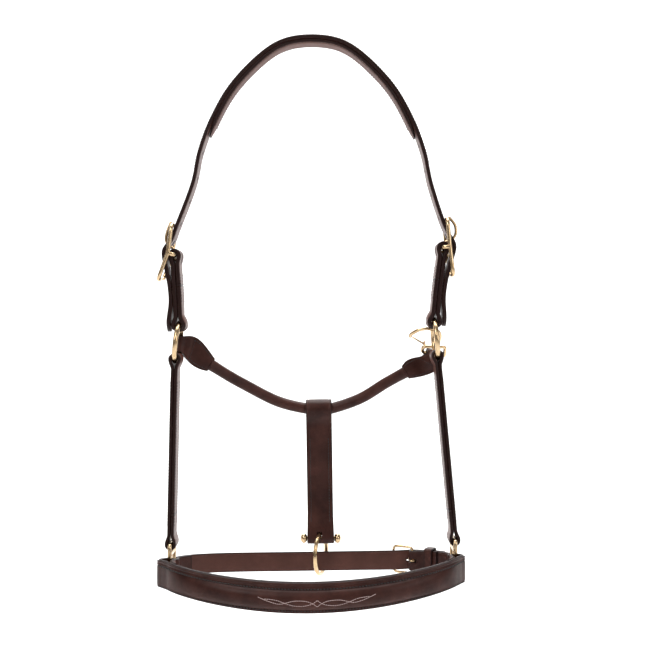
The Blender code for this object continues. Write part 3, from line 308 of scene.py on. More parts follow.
def apply_boolean(piece, others, operation):
    """Join or cut helper meshes into a piece and drop the helpers."""
    for other in others:
        step = piece.modifiers.new(operation, "BOOLEAN")
        step.operation = operation
        step.solver = "EXACT"
        step.object = other
    graph = bpy.context.evaluated_depsgraph_get()
    mesh = bpy.data.meshes.new_from_object(piece.evaluated_get(graph))
    piece.modifiers.clear()
    piece.data = mesh
    mesh.shade_smooth()
    mesh.set_sharp_from_angle(angle=radians(42))
    for other in others:
        bpy.data.objects.remove(other)


def helper(vertices, faces):
    """Loose mesh that a Boolean uses up."""
    item = bpy.data.objects.new("helper", make_mesh("helper", vertices, faces))
    bpy.context.scene.collection.objects.link(item)
    return item


def loft_faces(rings, size, closed=False, base=0):
    """Faces between neighbouring rings of points; closed joins the last ring to the first."""
    faces = []
    for i in range(rings if closed else rings - 1):
        here = base + i * size
        there = base + ((i + 1) % rings) * size
        for j in range(size):
            k = (j + 1) % size
            faces.append((here + j, here + k, there + k, there + j))
    return faces


def end_faces(rings, size, base=0):
    last = base + (rings - 1) * size
    return [tuple(range(base, base + size)), tuple(range(last, last + size))]


def circle(centre, first, second, sides):
    """Points round a centre, with two vectors as the half axes."""
    turns = [2 * pi * k / sides for k in range(sides)]
    return [centre + first * cos(turn) + second * sin(turn) for turn in turns]


def block(centre, axes, sizes):
    halves = [axis * size / 2 for axis, size in zip(axes, sizes)]
    corners = [centre + halves[0] * i + halves[1] * j + halves[2] * k
               for i in (-1, 1) for j in (-1, 1) for k in (-1, 1)]
    return helper(corners, BLOCK_FACES)


def smooth_curve(points, step):
    """Even steps along a Catmull-Rom curve through the points."""
    knots = [Vector(p) for p in points]
    ends = [2 * knots[0] - knots[1]] + knots + [2 * knots[-1] - knots[-2]]
    fine = []
    for i in range(1, len(ends) - 2):
        a, b, c, d = ends[i - 1:i + 3]
        for k in range(16):
            t = k / 16
            fine.append(0.5 * (2 * b + (c - a) * t + (2 * a - 5 * b + 4 * c - d) * t * t
                               + (3 * b - a - 3 * c + d) * t ** 3))
    fine.append(knots[-1])
    return even_steps(fine, step)


def square_to(vector, along):
    """The part of a vector that is square to a unit vector."""
    return vector - along * vector.dot(along)


def distances(path):
    """Distance of each point from the start, measured along the path."""
    reach = [0.0]
    for a, b in zip(path, path[1:]):
        reach.append(reach[-1] + dist(a, b))
    return reach


def even_steps(points, step):
    """Resample a polyline at nearly equal distances."""
    points = [Vector(p) for p in points]
    reach = distances(points)
    count = max(int(round(reach[-1] / step)), 2)
    result = []
    k = 0
    for i in range(count + 1):
        target = reach[-1] * i / count
        while k < len(points) - 2 and reach[k + 1] < target:
            k += 1
        span = max(reach[k + 1] - reach[k], 1e-12)
        result.append(points[k].lerp(points[k + 1], min((target - reach[k]) / span, 1.0)))
    return result


def flat_path(curve, points, step):
    """A curve function used on a path of (x, y) pairs."""
    return [(p.x, p.y) for p in curve([(a, b, 0) for a, b in points], step)]


def path_frames(path):
    """Left-hand normals along a flat path."""
    last = len(path) - 1
    normals = []
    for i in range(last + 1):
        a0, b0 = path[max(i - 1, 0)][:2]
        a1, b1 = path[min(i + 1, last)][:2]
        tangent = Vector((a1 - a0, b1 - b0)).normalized()
        normals.append(Vector((-tangent.y, tangent.x)))
    return normals


def strap_section(width, thickness, crease=0.0024, crown=0.00012):
    """Rounded leather section as (across, outward, edge, inner-face flag) points; the flag marks the face
    that the leather lightens with a painted sheen.
    """
    half = width / 2
    top = thickness / 2
    r = min(thickness * 0.42, 0.0014)
    quarter = [(half * share, top + crown * (1 - share * share), 0.0) for share in (0.0, 0.25, 0.5, 0.68)]
    for shift, depth, edge in ((-0.0006, 0.0, 0.0), (-0.0003, 0.00014, 0.0), (0.0, 0.00024, 0.25),
                               (0.0003, 0.00014, 0.0), (0.0006, 0.0, 0.0)):
        quarter.append((half - crease + shift, top - depth, edge))
    for k, edge in enumerate((0.25, 0.6, 0.9, 1.0, 1.0)):
        angle = radians(90 - 22.5 * k)
        quarter.append((half - r + r * cos(angle), top - r + r * sin(angle), edge))
    face = [(-w, e, g) for w, e, g in reversed(quarter[1:])] + quarter
    return [(w, e, g, 0.0) for w, e, g in face] + [(w, -e, g, 1.0) for w, e, g in reversed(face)]


def sweep(name, path, section, place, body, nodes, widths=None, thick=None, painted_sheen=1.0, inner_below=None,
          material=HAVANA):
    """Fine strap or band: a section swept along a flat path, with closed ends."""
    size = len(section)
    vertices = []
    rim = []
    behind = []
    for i, (point, normal) in enumerate(zip(path, path_frames(path))):
        factor = widths[i] if widths else 1.0
        lift = thick[i] if thick else 1.0
        for across, outward, edge, side in section:
            spot = Vector(point) + normal * outward * lift
            vertices.append(place(spot.x, spot.y, across * factor))
            rim.append(edge)
            # Inner faces are marked for the painted sheen that lightens them: faces below inner_below fully,
            # the section's inner side by the given factor.
            inside = inner_below is not None and spot.y < inner_below
            behind.append(1.0 if inside else side * painted_sheen)
    faces = loft_faces(len(path), size)
    for start in (0, (len(path) - 1) * size):
        for j in range(size // 2 - 1):
            faces.append((start + j, start + j + 1, start + size - 2 - j, start + size - 1 - j))
        rim[start:start + size] = [1.0] * size
    return add_piece(name, vertices, faces, material, body, nodes, {"edge": rim, "painted_sheen": behind})


def tube_mesh(points, radius, sides=14, closed=False, radii=None, start_side=None):
    """Vertices and faces of a round wire; radii may vary along it."""
    points = [Vector(p) for p in points]
    count = len(points)
    tangents = []
    for i in range(count):
        before = points[(i - 1) % count] if closed else points[max(i - 1, 0)]
        after = points[(i + 1) % count] if closed else points[min(i + 1, count - 1)]
        tangents.append((after - before).normalized())
    side = start_side or tangents[0].orthogonal().normalized()
    if closed:
        side = (points[0] - sum(points, Vector()) / count).normalized()
    vertices = []
    for i, point in enumerate(points):
        side = square_to(side, tangents[i]).normalized()
        size = radii[i] if radii else radius
        vertices += circle(point, side * size, tangents[i].cross(side) * size, sides)
    faces = loft_faces(count, sides, closed)
    return vertices, faces if closed else faces + end_faces(count, sides)


def round_ends(points, radius):
    """Radii and extra points that round off the two ends of a wire."""
    points = [Vector(p) for p in points]
    first = (points[0] - points[1]).normalized()
    final = (points[-1] - points[-2]).normalized()
    head = []
    tail = []
    for k in range(4):
        angle = pi / 8 * (k + 0.35)
        head.append((points[0] + first * radius * cos(angle), radius * sin(angle)))
        tail.append((points[-1] + final * radius * cos(angle), radius * sin(angle)))
    full = head + [(p, radius) for p in points] + tail[::-1]
    return [p for p, r in full], [r for p, r in full]


def wire(name, points, radius, body, nodes, closed=False, sides=14):
    """Round brass wire, closed or with rounded ends."""
    radii = None
    if not closed:
        points, radii = round_ends(points, radius)
    vertices, faces = tube_mesh(points, radius, sides, closed, radii)
    return add_piece(name, vertices, faces, BRASS, body, nodes)


def rounded_rectangle(half_long, half_wide, corner, steps=6, run=0.004):
    """Closed outline with arcs at the corners and even steps on the straights."""
    outline = []
    for quarter, (sx, sy) in enumerate([(1, 1), (-1, 1), (-1, -1), (1, -1)]):
        for k in range(steps + 1):
            angle = pi / 2 * (quarter + k / steps)
            outline.append((sx * (half_long - corner) + corner * cos(angle),
                            sy * (half_wide - corner) + corner * sin(angle)))
    result = []
    for a, b in zip(outline, outline[1:] + outline[:1]):
        cuts = max(int(dist(a, b) / run), 1)
        for k in range(cuts):
            result.append((a[0] + (b[0] - a[0]) * k / cuts, a[1] + (b[1] - a[1]) * k / cuts))
    return result


def stitches(name, lines, body, radius=0.00033, pitch=0.0030, share=0.72, material=DARK_THREAD):
    """Separate small threads laid along 3-D lines."""
    vertices = []
    faces = []
    rings = len(THREAD_PROFILE)
    sides = 6
    for line in lines:
        spots = even_steps(line, pitch)
        for a, b in zip(spots, spots[1:]):
            along = (b - a) * share
            side = along.orthogonal().normalized()
            up = along.normalized().cross(side)
            base = len(vertices)
            for t, size in THREAD_PROFILE:
                vertices += circle((a + b) / 2 + along * t, side * radius * size, up * radius * size, sides)
            faces += loft_faces(rings, sides, base=base) + end_faces(rings, sides, base)
    add_piece(name, vertices, faces, material, body, sharp=60)


def surface_lines(path, place, inset, outward, margin):
    """World lines along both edges of a strap's face, ending short of its ends."""
    reach = distances(path)
    lines = []
    for across in (-inset, inset):
        line = []
        for point, normal, gone in zip(path, path_frames(path), reach):
            if margin <= gone <= reach[-1] - margin:
                spot = Vector(point) + normal * outward
                line.append(place(spot.x, spot.y, across))
        lines.append(line)
    return lines


def edge_lines(place, face, inset, stations):
    """World lines along both edges of both faces of a folded strap."""
    edges = [(height, across) for height in (face, -face) for across in (-inset, inset)]
    return [[place(s, height, across) for s in stations] for height, across in edges]


def ease(distance, reach, near, far):
    share = min(max(distance / reach, 0.0), 1.0)
    return far + (near - far) * (1 + cos(pi * share)) / 2


def tip_widths(path, start_tip=0.0, end_tip=0.0, power=2.0):
    """Width factors that round off a strap's ends over the given lengths."""
    reach = distances(path)
    widths = []
    for s in reach:
        factor = 1.0
        for length, gone in ((start_tip, s), (end_tip, reach[-1] - s)):
            if length and gone < length:
                x = 1 - gone / length
                factor = min(factor, max((1 - x ** power) ** (1 / power), 0.10))
        widths.append(factor)
    return widths


# ---------------------------------------------------------------- places on each side
def side_places(side):
    info = SIDES[side]
    sign = info["sign"]
    centre = Vector((info["ring"][0], 0, info["ring"][1]))
    up = Vector((-sign * sin(info["ring_lean"]), 0, cos(info["ring_lean"])))
    bottom = centre - up * RING_RADIUS
    cheek = Vector((sign * sin(info["cheek_lean"]), 0, -cos(info["cheek_lean"])))
    lean = info["buckle_lean"]
    return {
        "sign": sign, "ring": centre, "ring_up": up, "ring_top": centre + up * RING_RADIUS,
        "ring_bottom": bottom, "square": bottom + cheek * CHEEK_LENGTH,
        "bar": Vector((info["bar"][0], 0, info["bar"][1])),
        "down": Vector((sign * sin(lean), 0, -cos(lean))), "out": Vector((sign * cos(lean), 0, sin(lean))),
    }


PLACES = {side: side_places(side) for side in SIDES}


def buckle_point(side, u, v, y=0.0):
    spot = PLACES[side]
    return spot["bar"] + spot["down"] * u + spot["out"] * v + Vector((0, y, 0))


# ---------------------------------------------------------------- crownpiece
STRAP_OVER_BAR = BAR_EYE + BILLET_LAYER / 2 + CROWN_BOW + CROWN_THICKNESS / 2
STRAP_UNDER_END = BUCKLE_RISE - BUCKLE_WIRE - RUN_GAP - CROWN_THICKNESS / 2


def frame_bend(side, u):
    return SIDES[side]["frame_bend"] * max(-u / (BUCKLE_LENGTH / 2), 0.0)


def billet_point(side, share, offset):
    spot = PLACES[side]
    along = spot["ring_top"] - spot["bar"]
    outward = Vector((0, 1, 0)).cross(along).normalized()
    if outward.x * spot["sign"] < 0:
        outward = -outward
    return spot["bar"] + along * share + outward * offset


def crown_half(side):
    sign = PLACES[side]["sign"]
    half = BUCKLE_LENGTH / 2
    route = [(sign * x, z) for x, z in CROWN_ARCH]
    under = STRAP_UNDER_END + frame_bend(side, -half)
    middle = (STRAP_OVER_BAR + STRAP_UNDER_END + frame_bend(side, -half / 2)) / 2
    level = BILLET_OFFSET + BILLET_LAYER / 2 + 2 * TOUCH_GAP + CROWN_THICKNESS / 2
    over_eye = BILLET_RING_EYE + BILLET_LAYER / 2 + 3 * TOUCH_GAP + CROWN_THICKNESS / 2
    points = [buckle_point(side, -half, under), buckle_point(side, -half / 2, middle),
              buckle_point(side, 0, STRAP_OVER_BAR),
              billet_point(side, 0.22, level + 0.42 * (STRAP_OVER_BAR - level)),
              billet_point(side, 0.45, level), billet_point(side, 0.70, level),
              billet_point(side, 0.97, over_eye)]
    route += [(point.x, point.z) for point in points]
    tip = buckle_point(side, half, STRAP_UNDER_END).z - CROWN_TIP_DROP
    route.append((PLACES[side]["ring_top"].x + sign * over_eye, tip))
    return route


def crown_place(x, z, across):
    return Vector((x, across, z))


def build_crown():
    """Strap over the poll with its tongue holes, and the padded lining under its middle."""
    left = crown_half("left")
    right = crown_half("right")
    path = flat_path(smooth_curve, left[:0:-1] + right, STEP)
    section = strap_section(STRAP_WIDTH, CROWN_THICKNESS)
    strap = sweep("crown_strap_look", path, section, crown_place, "straps", ["crown_strap"],
                  tip_widths(path, 0.014, 0.014, 1.7))
    normals = path_frames(path)
    cutters = []
    for side in SIDES:
        spot = PLACES[side]
        slot_axes = (spot["down"], Vector((0, 1, 0)), spot["out"])
        hole = buckle_point(side, -HOLE_ABOVE_BAR, STRAP_OVER_BAR)
        cutters.append(block(hole, slot_axes, CROWN_SLOT))
        nearest = min(range(len(path)), key=lambda i: dist(path[i], (hole.x, hole.z)))
        for turn in (-2, -1, 1, 2, 3, 4):
            i = nearest - int(round(spot["sign"] * turn * HOLE_PITCH / STEP))
            centre = Vector((path[i][0], 0, path[i][1]))
            reach = Vector((normals[i].x, 0, normals[i].y)) * 0.004
            cutters.append(helper(*tube_mesh([centre - reach, centre + reach], HOLE_RADIUS, 16)))
    apply_boolean(strap, cutters, "DIFFERENCE")
    lined = [(x, z) for x, z in path if abs(x) < LINING_HALF_SPAN and z > -0.2]
    drop = -(CROWN_THICKNESS / 2 + TOUCH_GAP + LINING_THICKNESS / 2)
    taper = tip_widths(lined, 0.022, 0.022, 2.2)
    base = [(x + n.x * drop, z + n.y * drop) for (x, z), n in zip(lined, path_frames(lined))]
    lining = sweep("crown_lining_look", base, strap_section(STRAP_WIDTH, LINING_THICKNESS, 0.0030, 0.0004),
                   crown_place, "straps", ["crown_lining"], [0.94 * max(w, 0.55) for w in taper],
                   [max(w, 0.3) for w in taper], material=LINING)
    top = surface_lines(path, crown_place, 0.0102, CROWN_THICKNESS / 2 + SKIN, 0.165)
    under = surface_lines(base, crown_place, 0.0098, -LINING_THICKNESS / 2 - SKIN, 0.010)
    stitches("crown_stitches", top + under, "straps")


# ---------------------------------------------------------------- doubled straps
def eye(radius, layer, reach):
    """Fold of a strap round a bar at 0, from one layer to the other."""
    runs = [reach * k / 9 for k in range(1, 10)]
    layers = [(run, ease(run, reach, radius, layer)) for run in runs]
    angles = [-pi / 2 - pi * k / 14 for k in range(15)]
    turn = [(radius * cos(angle), radius * sin(angle)) for angle in angles]
    return [(run, -height) for run, height in reversed(layers)] + turn + layers


def two_eye_path(length, first, second, layer, reach, join):
    path = [(join, -layer)]
    path += eye(first, layer, reach)
    path += [(length - s, -h) for s, h in eye(second, layer, reach)]
    path.append((join + TOUCH_GAP * 1.5, -layer))
    return flat_path(even_steps, path, 0.0016)


def ring_hug(s, across):
    """Bends a strap's fold along its ring's curve, fading out along the strap."""
    share = min(max((s - 0.004) / 0.022, 0.0), 1.0)
    fade = 1 - share * share * (3 - 2 * share)
    turn = across / RING_RADIUS
    radius = max(min(RING_RADIUS + s, RING_RADIUS), 0.005)
    return s + fade * radius * (cos(turn) - 1), across * (1 - fade) + fade * radius * sin(turn)


def doubled_strap(side, kind, node, start, end, path, layer):
    """Doubled strap between a ring and a bar, stitched along both edges on both faces."""
    along = (end - start).normalized()
    outward = square_to(Vector((PLACES[side]["sign"], 0, 0)), along).normalized()
    radial = (start - PLACES[side]["ring"]).normalized()

    def place(s, h, across):
        hugged, across = ring_hug(s, across)
        return start + along * s + radial * (hugged - s) + outward * h + Vector((0, across, 0))

    section = strap_section(STRAP_WIDTH, layer)
    strap = sweep("%s_%s_look" % (side, kind), path, section, place, "straps", [node], painted_sheen=0.0,
                  inner_below=-layer * 0.75)
    length = (end - start).length
    stations = (0.020, length * 0.35, length * 0.65, length - 0.018)
    lines = edge_lines(place, (layer + TOUCH_GAP) / 2 + layer / 2 + SKIN, 0.0100, stations)
    stitches("%s_%s_stitches" % (side, kind), lines, "straps")
    return strap


def build_billet(side):
    start = PLACES[side]["ring_top"]
    end = PLACES[side]["bar"]
    length = (end - start).length
    path = two_eye_path(length, BILLET_RING_EYE, BAR_EYE, BILLET_OFFSET, 0.0095, length * 0.55)
    strap = doubled_strap(side, "billet", side + "_billet", start, end, path, BILLET_LAYER)
    along = (end - start).normalized()
    out = Vector((0, 1, 0)).cross(along)
    slot = block(end, (along, Vector((0, 1, 0)), out), BILLET_SLOT)
    apply_boolean(strap, [slot], "DIFFERENCE")


def build_cheek(side):
    spot = PLACES[side]
    path = two_eye_path(CHEEK_LENGTH, CHEEK_RING_EYE, SQUARE_EYE, CHEEK_OFFSET, 0.0100, CHEEK_LENGTH - 0.030)
    doubled_strap(side, "cheek", side + "_cheek_strap", spot["ring_bottom"], spot["square"], path,
                  CHEEK_LAYER)


# ---------------------------------------------------------------- side metal
def tongue_wrap(bar, tongue, angles):
    """Turn of a tongue round its bar, at angles in degrees."""
    wrap = bar + TONGUE_CLEAR + tongue
    return [(wrap * cos(radians(a)), wrap * sin(radians(a))) for a in angles]


def build_crown_buckle(side):
    """Bent frame with its cranked bar, and the tongue that hinges on the bar."""
    half = BUCKLE_LENGTH / 2
    outline = rounded_rectangle(half, BUCKLE_HALF_WIDTH, BUCKLE_CORNER)
    points = []
    for u, y in outline:
        notch = 0.0009 * max(1 - abs(y) / 0.0030, 0.0) if u < -half * 0.9 else 0.0
        points.append(buckle_point(side, u + notch, BUCKLE_RISE + frame_bend(side, u), y))
    frame_piece = wire(side + "_crown_buckle_look", points, BUCKLE_WIRE, "straps", [side + "_crown_buckle"],
                       True, 16)
    bend = 0.0022
    crank = [(BUCKLE_HALF_WIDTH, BUCKLE_RISE)]
    for k in range(5):
        angle = pi / 2 * k / 4
        crank.append((BUCKLE_HALF_WIDTH - bend + bend * cos(angle), bend - bend * sin(angle)))
    crank += [(0.008, 0.0)]
    mirrored = [(-y, v) for y, v in reversed(crank)]
    bar = [buckle_point(side, 0, v, y) for y, v in crank + mirrored]
    apply_boolean(frame_piece, [helper(*tube_mesh(bar, BUCKLE_WIRE * 0.99, 16))], "UNION")
    path = tongue_wrap(BUCKLE_WIRE, TONGUE_WIRE, range(80, -205, -15))
    rest = BUCKLE_RISE + frame_bend(side, -half) + BUCKLE_WIRE + TOUCH_GAP + TONGUE_WIRE
    over = STRAP_OVER_BAR + CROWN_THICKNESS / 2 + RUN_GAP + TONGUE_WIRE
    path += [(-0.0050, 0.0030), (-HOLE_ABOVE_BAR, over * 0.55), (-0.0094, over * 0.85),
             (-0.0140, over + TOUCH_GAP), (-0.0220, max(over, rest) + TOUCH_GAP), (-half - 0.0015, rest)]
    points = [buckle_point(side, u, v) for u, v in flat_path(smooth_curve, path, 0.0009)]
    wire(side + "_crown_tongue_look", points, TONGUE_WIRE, side + "_tongue", [side + "_crown_tongue"])


def build_ring(side):
    spot = PLACES[side]
    points = circle(spot["ring"], spot["ring_up"] * RING_RADIUS, Vector((0, RING_RADIUS, 0)), 72)
    wire(side + "_cheek_ring_look", points, RING_WIRE, side + "_ring", [side + "_cheek_ring"], True, 20)


def build_square(side):
    top = PLACES[side]["square"]
    outline = rounded_rectangle(SQUARE_HEIGHT / 2, SQUARE_HALF_DEPTH, SQUARE_CORNER, 5)
    points = [top + Vector((0, y, -SQUARE_HEIGHT / 2 + z)) for z, y in outline]
    node = side + "_noseband_square"
    frame_piece = wire(node + "_look", points, SQUARE_WIRE, "straps", [node], True, 16)
    ends = [top + Vector((0, y, -SQUARE_LOOP)) for y in (-SQUARE_HALF_DEPTH, 0, SQUARE_HALF_DEPTH)]
    apply_boolean(frame_piece, [helper(*tube_mesh(ends, SQUARE_WIRE * 0.98, 16))], "UNION")


# ---------------------------------------------------------------- noseband and chin strap
BAND_LEFT = PLACES["left"]["square"]
BAND_RIGHT = PLACES["right"]["square"]
BAND_HALF = (BAND_RIGHT.x - BAND_LEFT.x) / 2
BAND_MIDDLE = (BAND_RIGHT.x + BAND_LEFT.x) / 2


def band_base(sagitta, front, share):
    angle = pi * (1 - share)
    x = BAND_MIDDLE + BAND_HALF * cos(angle)
    y = SQUARE_HALF_DEPTH + sagitta * sin(angle)
    outward = Vector((sagitta * cos(angle), BAND_HALF * sin(angle))).normalized()
    turn = -1 if front else 1
    return Vector((x, turn * y)), Vector((outward.x, turn * outward.y))


def band_shares(sagitta, steps):
    """Shares of a band's sweep that lie at equal distances, and the band's length."""
    reach = distances([band_base(sagitta, False, k / 1200)[0] for k in range(1201)])
    shares = []
    k = 0
    for i in range(steps + 1):
        while k < 1200 and reach[k] < reach[-1] * i / steps - 1e-9:
            k += 1
        shares.append(k / 1200)
    return shares, reach[-1]


def band_height(x, droop, seat=0.0):
    share = min(max((x - BAND_LEFT.x) / (BAND_RIGHT.x - BAND_LEFT.x), 0.0), 1.0)
    ends = BAND_LEFT.z + (BAND_RIGHT.z - BAND_LEFT.z) * share - SQUARE_MIDDLE
    return ends - seat - droop * (1 - (2 * share - 1) ** 2) ** 1.3


def band_place(droop, seat=0.0):
    def place(x, y, across):
        return Vector((x, y, band_height(x, droop, seat) + across))
    return place


def band_points(sagitta, front, shares, offset):
    path = []
    for share in shares:
        point, outward = band_base(sagitta, front, share)
        shift = offset(share) if callable(offset) else offset
        path.append((point.x + outward.x * shift, point.y + outward.y * shift))
    return path


def bar_turn(x, y, radius, start, stop):
    """Fold round an upright bar, between two angles in degrees."""
    angles = [radians(start + (stop - start) * k / 14) for k in range(15)]
    return [(x + radius * cos(angle), y + radius * sin(angle)) for angle in angles]


NOSE_PLACE = band_place(NOSEBAND_DROOP)
NOSE_FACE = NOSEBAND_LAYER + TOUCH_GAP * 1.5
NOSE_OFFSET = (NOSEBAND_LAYER + TOUCH_GAP) / 2
NOSE_TURN = SQUARE_WIRE + RUN_GAP + NOSEBAND_LAYER / 2
NOSE_SHARES, NOSE_LENGTH = band_shares(NOSEBAND_SAGITTA, 170)


def nose_flare(x):
    """Width factor of the noseband, which is widest at its middle."""
    ratio = NOSEBAND_MID_WIDTH / NOSEBAND_END_WIDTH - 1
    return 1 + ratio * max(1 - ((x - BAND_MIDDLE) / (0.9 * BAND_HALF)) ** 2, 0)


def nose_widths(path):
    return [nose_flare(point[0]) for point in path]


END_BULGE = {"left": 0.0050, "right": 0.0022}
COVER_GROOVES = (0.0082, 0.0109, -0.0119)
COVER_STITCHES = (0.0082, -0.0119)


def nose_layer(share):
    """A layer's distance from the band's middle line, larger where it folds over a square's bar."""
    return ease(NOSE_LENGTH * min(share, 1 - share), FOLD_REACH, NOSE_TURN, NOSE_OFFSET)


def nose_outer(share):
    """The outer layer's distance, which swells near the ends."""
    bulge = END_BULGE["left" if share < 0.5 else "right"]
    return nose_layer(share) + ease(NOSE_LENGTH * min(share, 1 - share), 0.030, bulge, 0.0)


def overlay_rise(share):
    """How far the padded middle of the noseband's cover stands out along its length."""
    near = min(share, 1 - share)
    return ease(max(0.36 - near, 0.0), 0.30, 1.0, 0.0)


def overlay_point(share, across, lift=0.0):
    """Point on the cover's outer face: a low dome between two flat stitched borders."""
    rise = 0.0046 * overlay_rise(share)
    t = min(abs(across + 0.0018) / 0.0092, 1.0)
    dome = (1 - t ** 2.4) ** 0.8 if t < 1 else 0.0
    point, outward = band_base(NOSEBAND_SAGITTA, True, share)
    shift = NOSE_FACE + nose_outer(share) - NOSE_OFFSET + 0.0016 + rise * dome + lift
    return NOSE_PLACE(point.x + outward.x * shift, point.y + outward.y * shift, across)


def build_noseband():
    lapped = [share for share in NOSE_SHARES if 0 < share * NOSE_LENGTH < NOSEBAND_LAP]
    front = -SQUARE_HALF_DEPTH
    path = band_points(NOSEBAND_SAGITTA, True, reversed(lapped), lambda s: -nose_layer(s))
    path += bulged_turn(BAND_LEFT.x, front, NOSE_TURN, 0.0, END_BULGE["left"])
    path += band_points(NOSEBAND_SAGITTA, True, NOSE_SHARES[1:-1], nose_outer)
    path += bulged_turn(BAND_RIGHT.x, front, NOSE_TURN, END_BULGE["right"], 0.0)
    path += band_points(NOSEBAND_SAGITTA, True, [1 - s for s in lapped], lambda s: -nose_layer(s))
    section = strap_section(NOSEBAND_END_WIDTH, NOSEBAND_LAYER)
    sweep("noseband_strap_look", path, section, NOSE_PLACE, "straps", ["noseband_strap"], nose_widths(path))
    build_overlay()
    near = NOSEBAND_LAP + 0.004
    clear = [share for share in NOSE_SHARES if near < share * NOSE_LENGTH < NOSE_LENGTH - near]
    depth = NOSE_OFFSET - NOSEBAND_LAYER / 2 - TOUCH_GAP - NOSE_LINING / 2
    route = band_points(NOSEBAND_SAGITTA, True, clear, depth)
    section = strap_section(NOSEBAND_END_WIDTH * 0.97, NOSE_LINING, 0.0028, 0.0003)
    lining = sweep("noseband_lining_look", route, section, NOSE_PLACE, "straps", ["noseband_lining"],
                   nose_widths(route), material=LINING)
    inside = surface_lines(route, NOSE_PLACE, 0.0107, NOSE_LINING / 2 + SKIN, 0.006)
    stitches("noseband_lining_stitches", inside, "straps")


def bulged_turn(x, y, radius, first, last):
    """Fold round a square's bar that stands out more on one side."""
    path = []
    for k in range(17):
        t = k / 16
        size = radius + ease(t, 0.5, first, 0.0) + ease(1 - t, 0.5, last, 0.0)
        path.append((x + size * cos(pi * t), y + radius * sin(pi * t)))
    return path


def build_overlay():
    """Raised cover of the noseband with its padding inside, stitched along both borders."""
    shares = [0.012 + 0.976 * k / 220 for k in range(221)]
    columns = 72
    vertices = []
    rim = []
    for share in shares:
        point, outward = band_base(NOSEBAND_SAGITTA, True, share)
        half = (NOSEBAND_END_WIDTH / 2 - 0.0004) * nose_flare(point.x)
        for j in range(columns + 1):
            cut = 2 * j / columns - 1
            across = cut * half
            lift = -0.0012 * max((abs(cut) - 0.945) / 0.055, 0.0) ** 2
            for groove in COVER_GROOVES:
                lift -= 0.00042 * max(1 - ((across - groove) / 0.0008) ** 2, 0.0)
            vertices.append(overlay_point(share, across, lift))
            rim.append(min(max((abs(cut) - 0.94) / 0.05, 0.0), 1.0))
        base = point + outward * (NOSE_FACE + nose_outer(share) - NOSE_OFFSET + TOUCH_GAP / 3)
        for cut in (0.97, 0.5, 0.0, -0.5, -0.97):
            vertices.append(NOSE_PLACE(base.x, base.y, cut * half))
            rim.append(1.0)
    size = columns + 6
    faces = loft_faces(len(shares), size) + end_faces(len(shares), size)
    cover = add_piece("noseband_overlay_look", vertices, faces, HAVANA, "straps",
                      ["noseband_overlay", "noseband_padding"], marks={"edge": rim}, sharp=50)
    lines = []
    for across in COVER_STITCHES:
        lines.append([overlay_point(0.020 + 0.96 * k / 200, across, SKIN) for k in range(201)])
    stitches("noseband_edge_stitches", lines, "straps", 0.00070, 0.0030, 0.58)
    build_fancy_stitches()


def build_fancy_stitches():
    """Two threads that cross and part along the middle of the cover, the same on both sides."""
    upper = [(-0.0480, -0.0006), (-0.0420, -0.0007), (-0.0365, -0.0012), (-0.0325, -0.0024),
             (-0.0290, -0.0036), (-0.0220, -0.0056), (-0.0160, -0.0061), (-0.0100, -0.0056),
             (-0.0040, -0.0037), (0.0, -0.0007)]
    lower = [(-0.0540, 0.0008), (-0.0470, -0.0016), (-0.0400, -0.0036), (-0.0350, -0.0045),
             (-0.0315, -0.0043), (-0.0290, -0.0036), (-0.0220, -0.0015), (-0.0160, -0.0011),
             (-0.0100, -0.0015), (-0.0040, -0.0037), (0.0, -0.0068)]
    middle = 0.0050
    lines = []
    for knots in (upper, lower):
        for sign in (1, -1):
            curve = flat_path(smooth_curve, [(a * sign, b) for a, b in knots], 0.0008)
            lines.append([overlay_point(0.5 + (a + middle) / (pi * BAND_HALF), b, 0.00012) for a, b in curve])
    stitches("noseband_fancy_stitches", lines, "straps", 0.00034, 0.0021, 0.86, FANCY_THREAD)


def share_at(x):
    return 1 - acos((x - BAND_MIDDLE) / BAND_HALF) / pi


def chin_frame(share):
    point, outward = band_base(CHIN_SAGITTA, False, share)
    out = Vector((outward.x, outward.y, 0))
    along = Vector((outward.y, -outward.x, 0))
    height = band_height(point.x, CHIN_DROOP, CHIN_SEAT)
    return Vector((point.x, point.y, height)), along, out, Vector((0, 0, 1))


CHIN_PLACE = band_place(CHIN_DROOP, CHIN_SEAT)


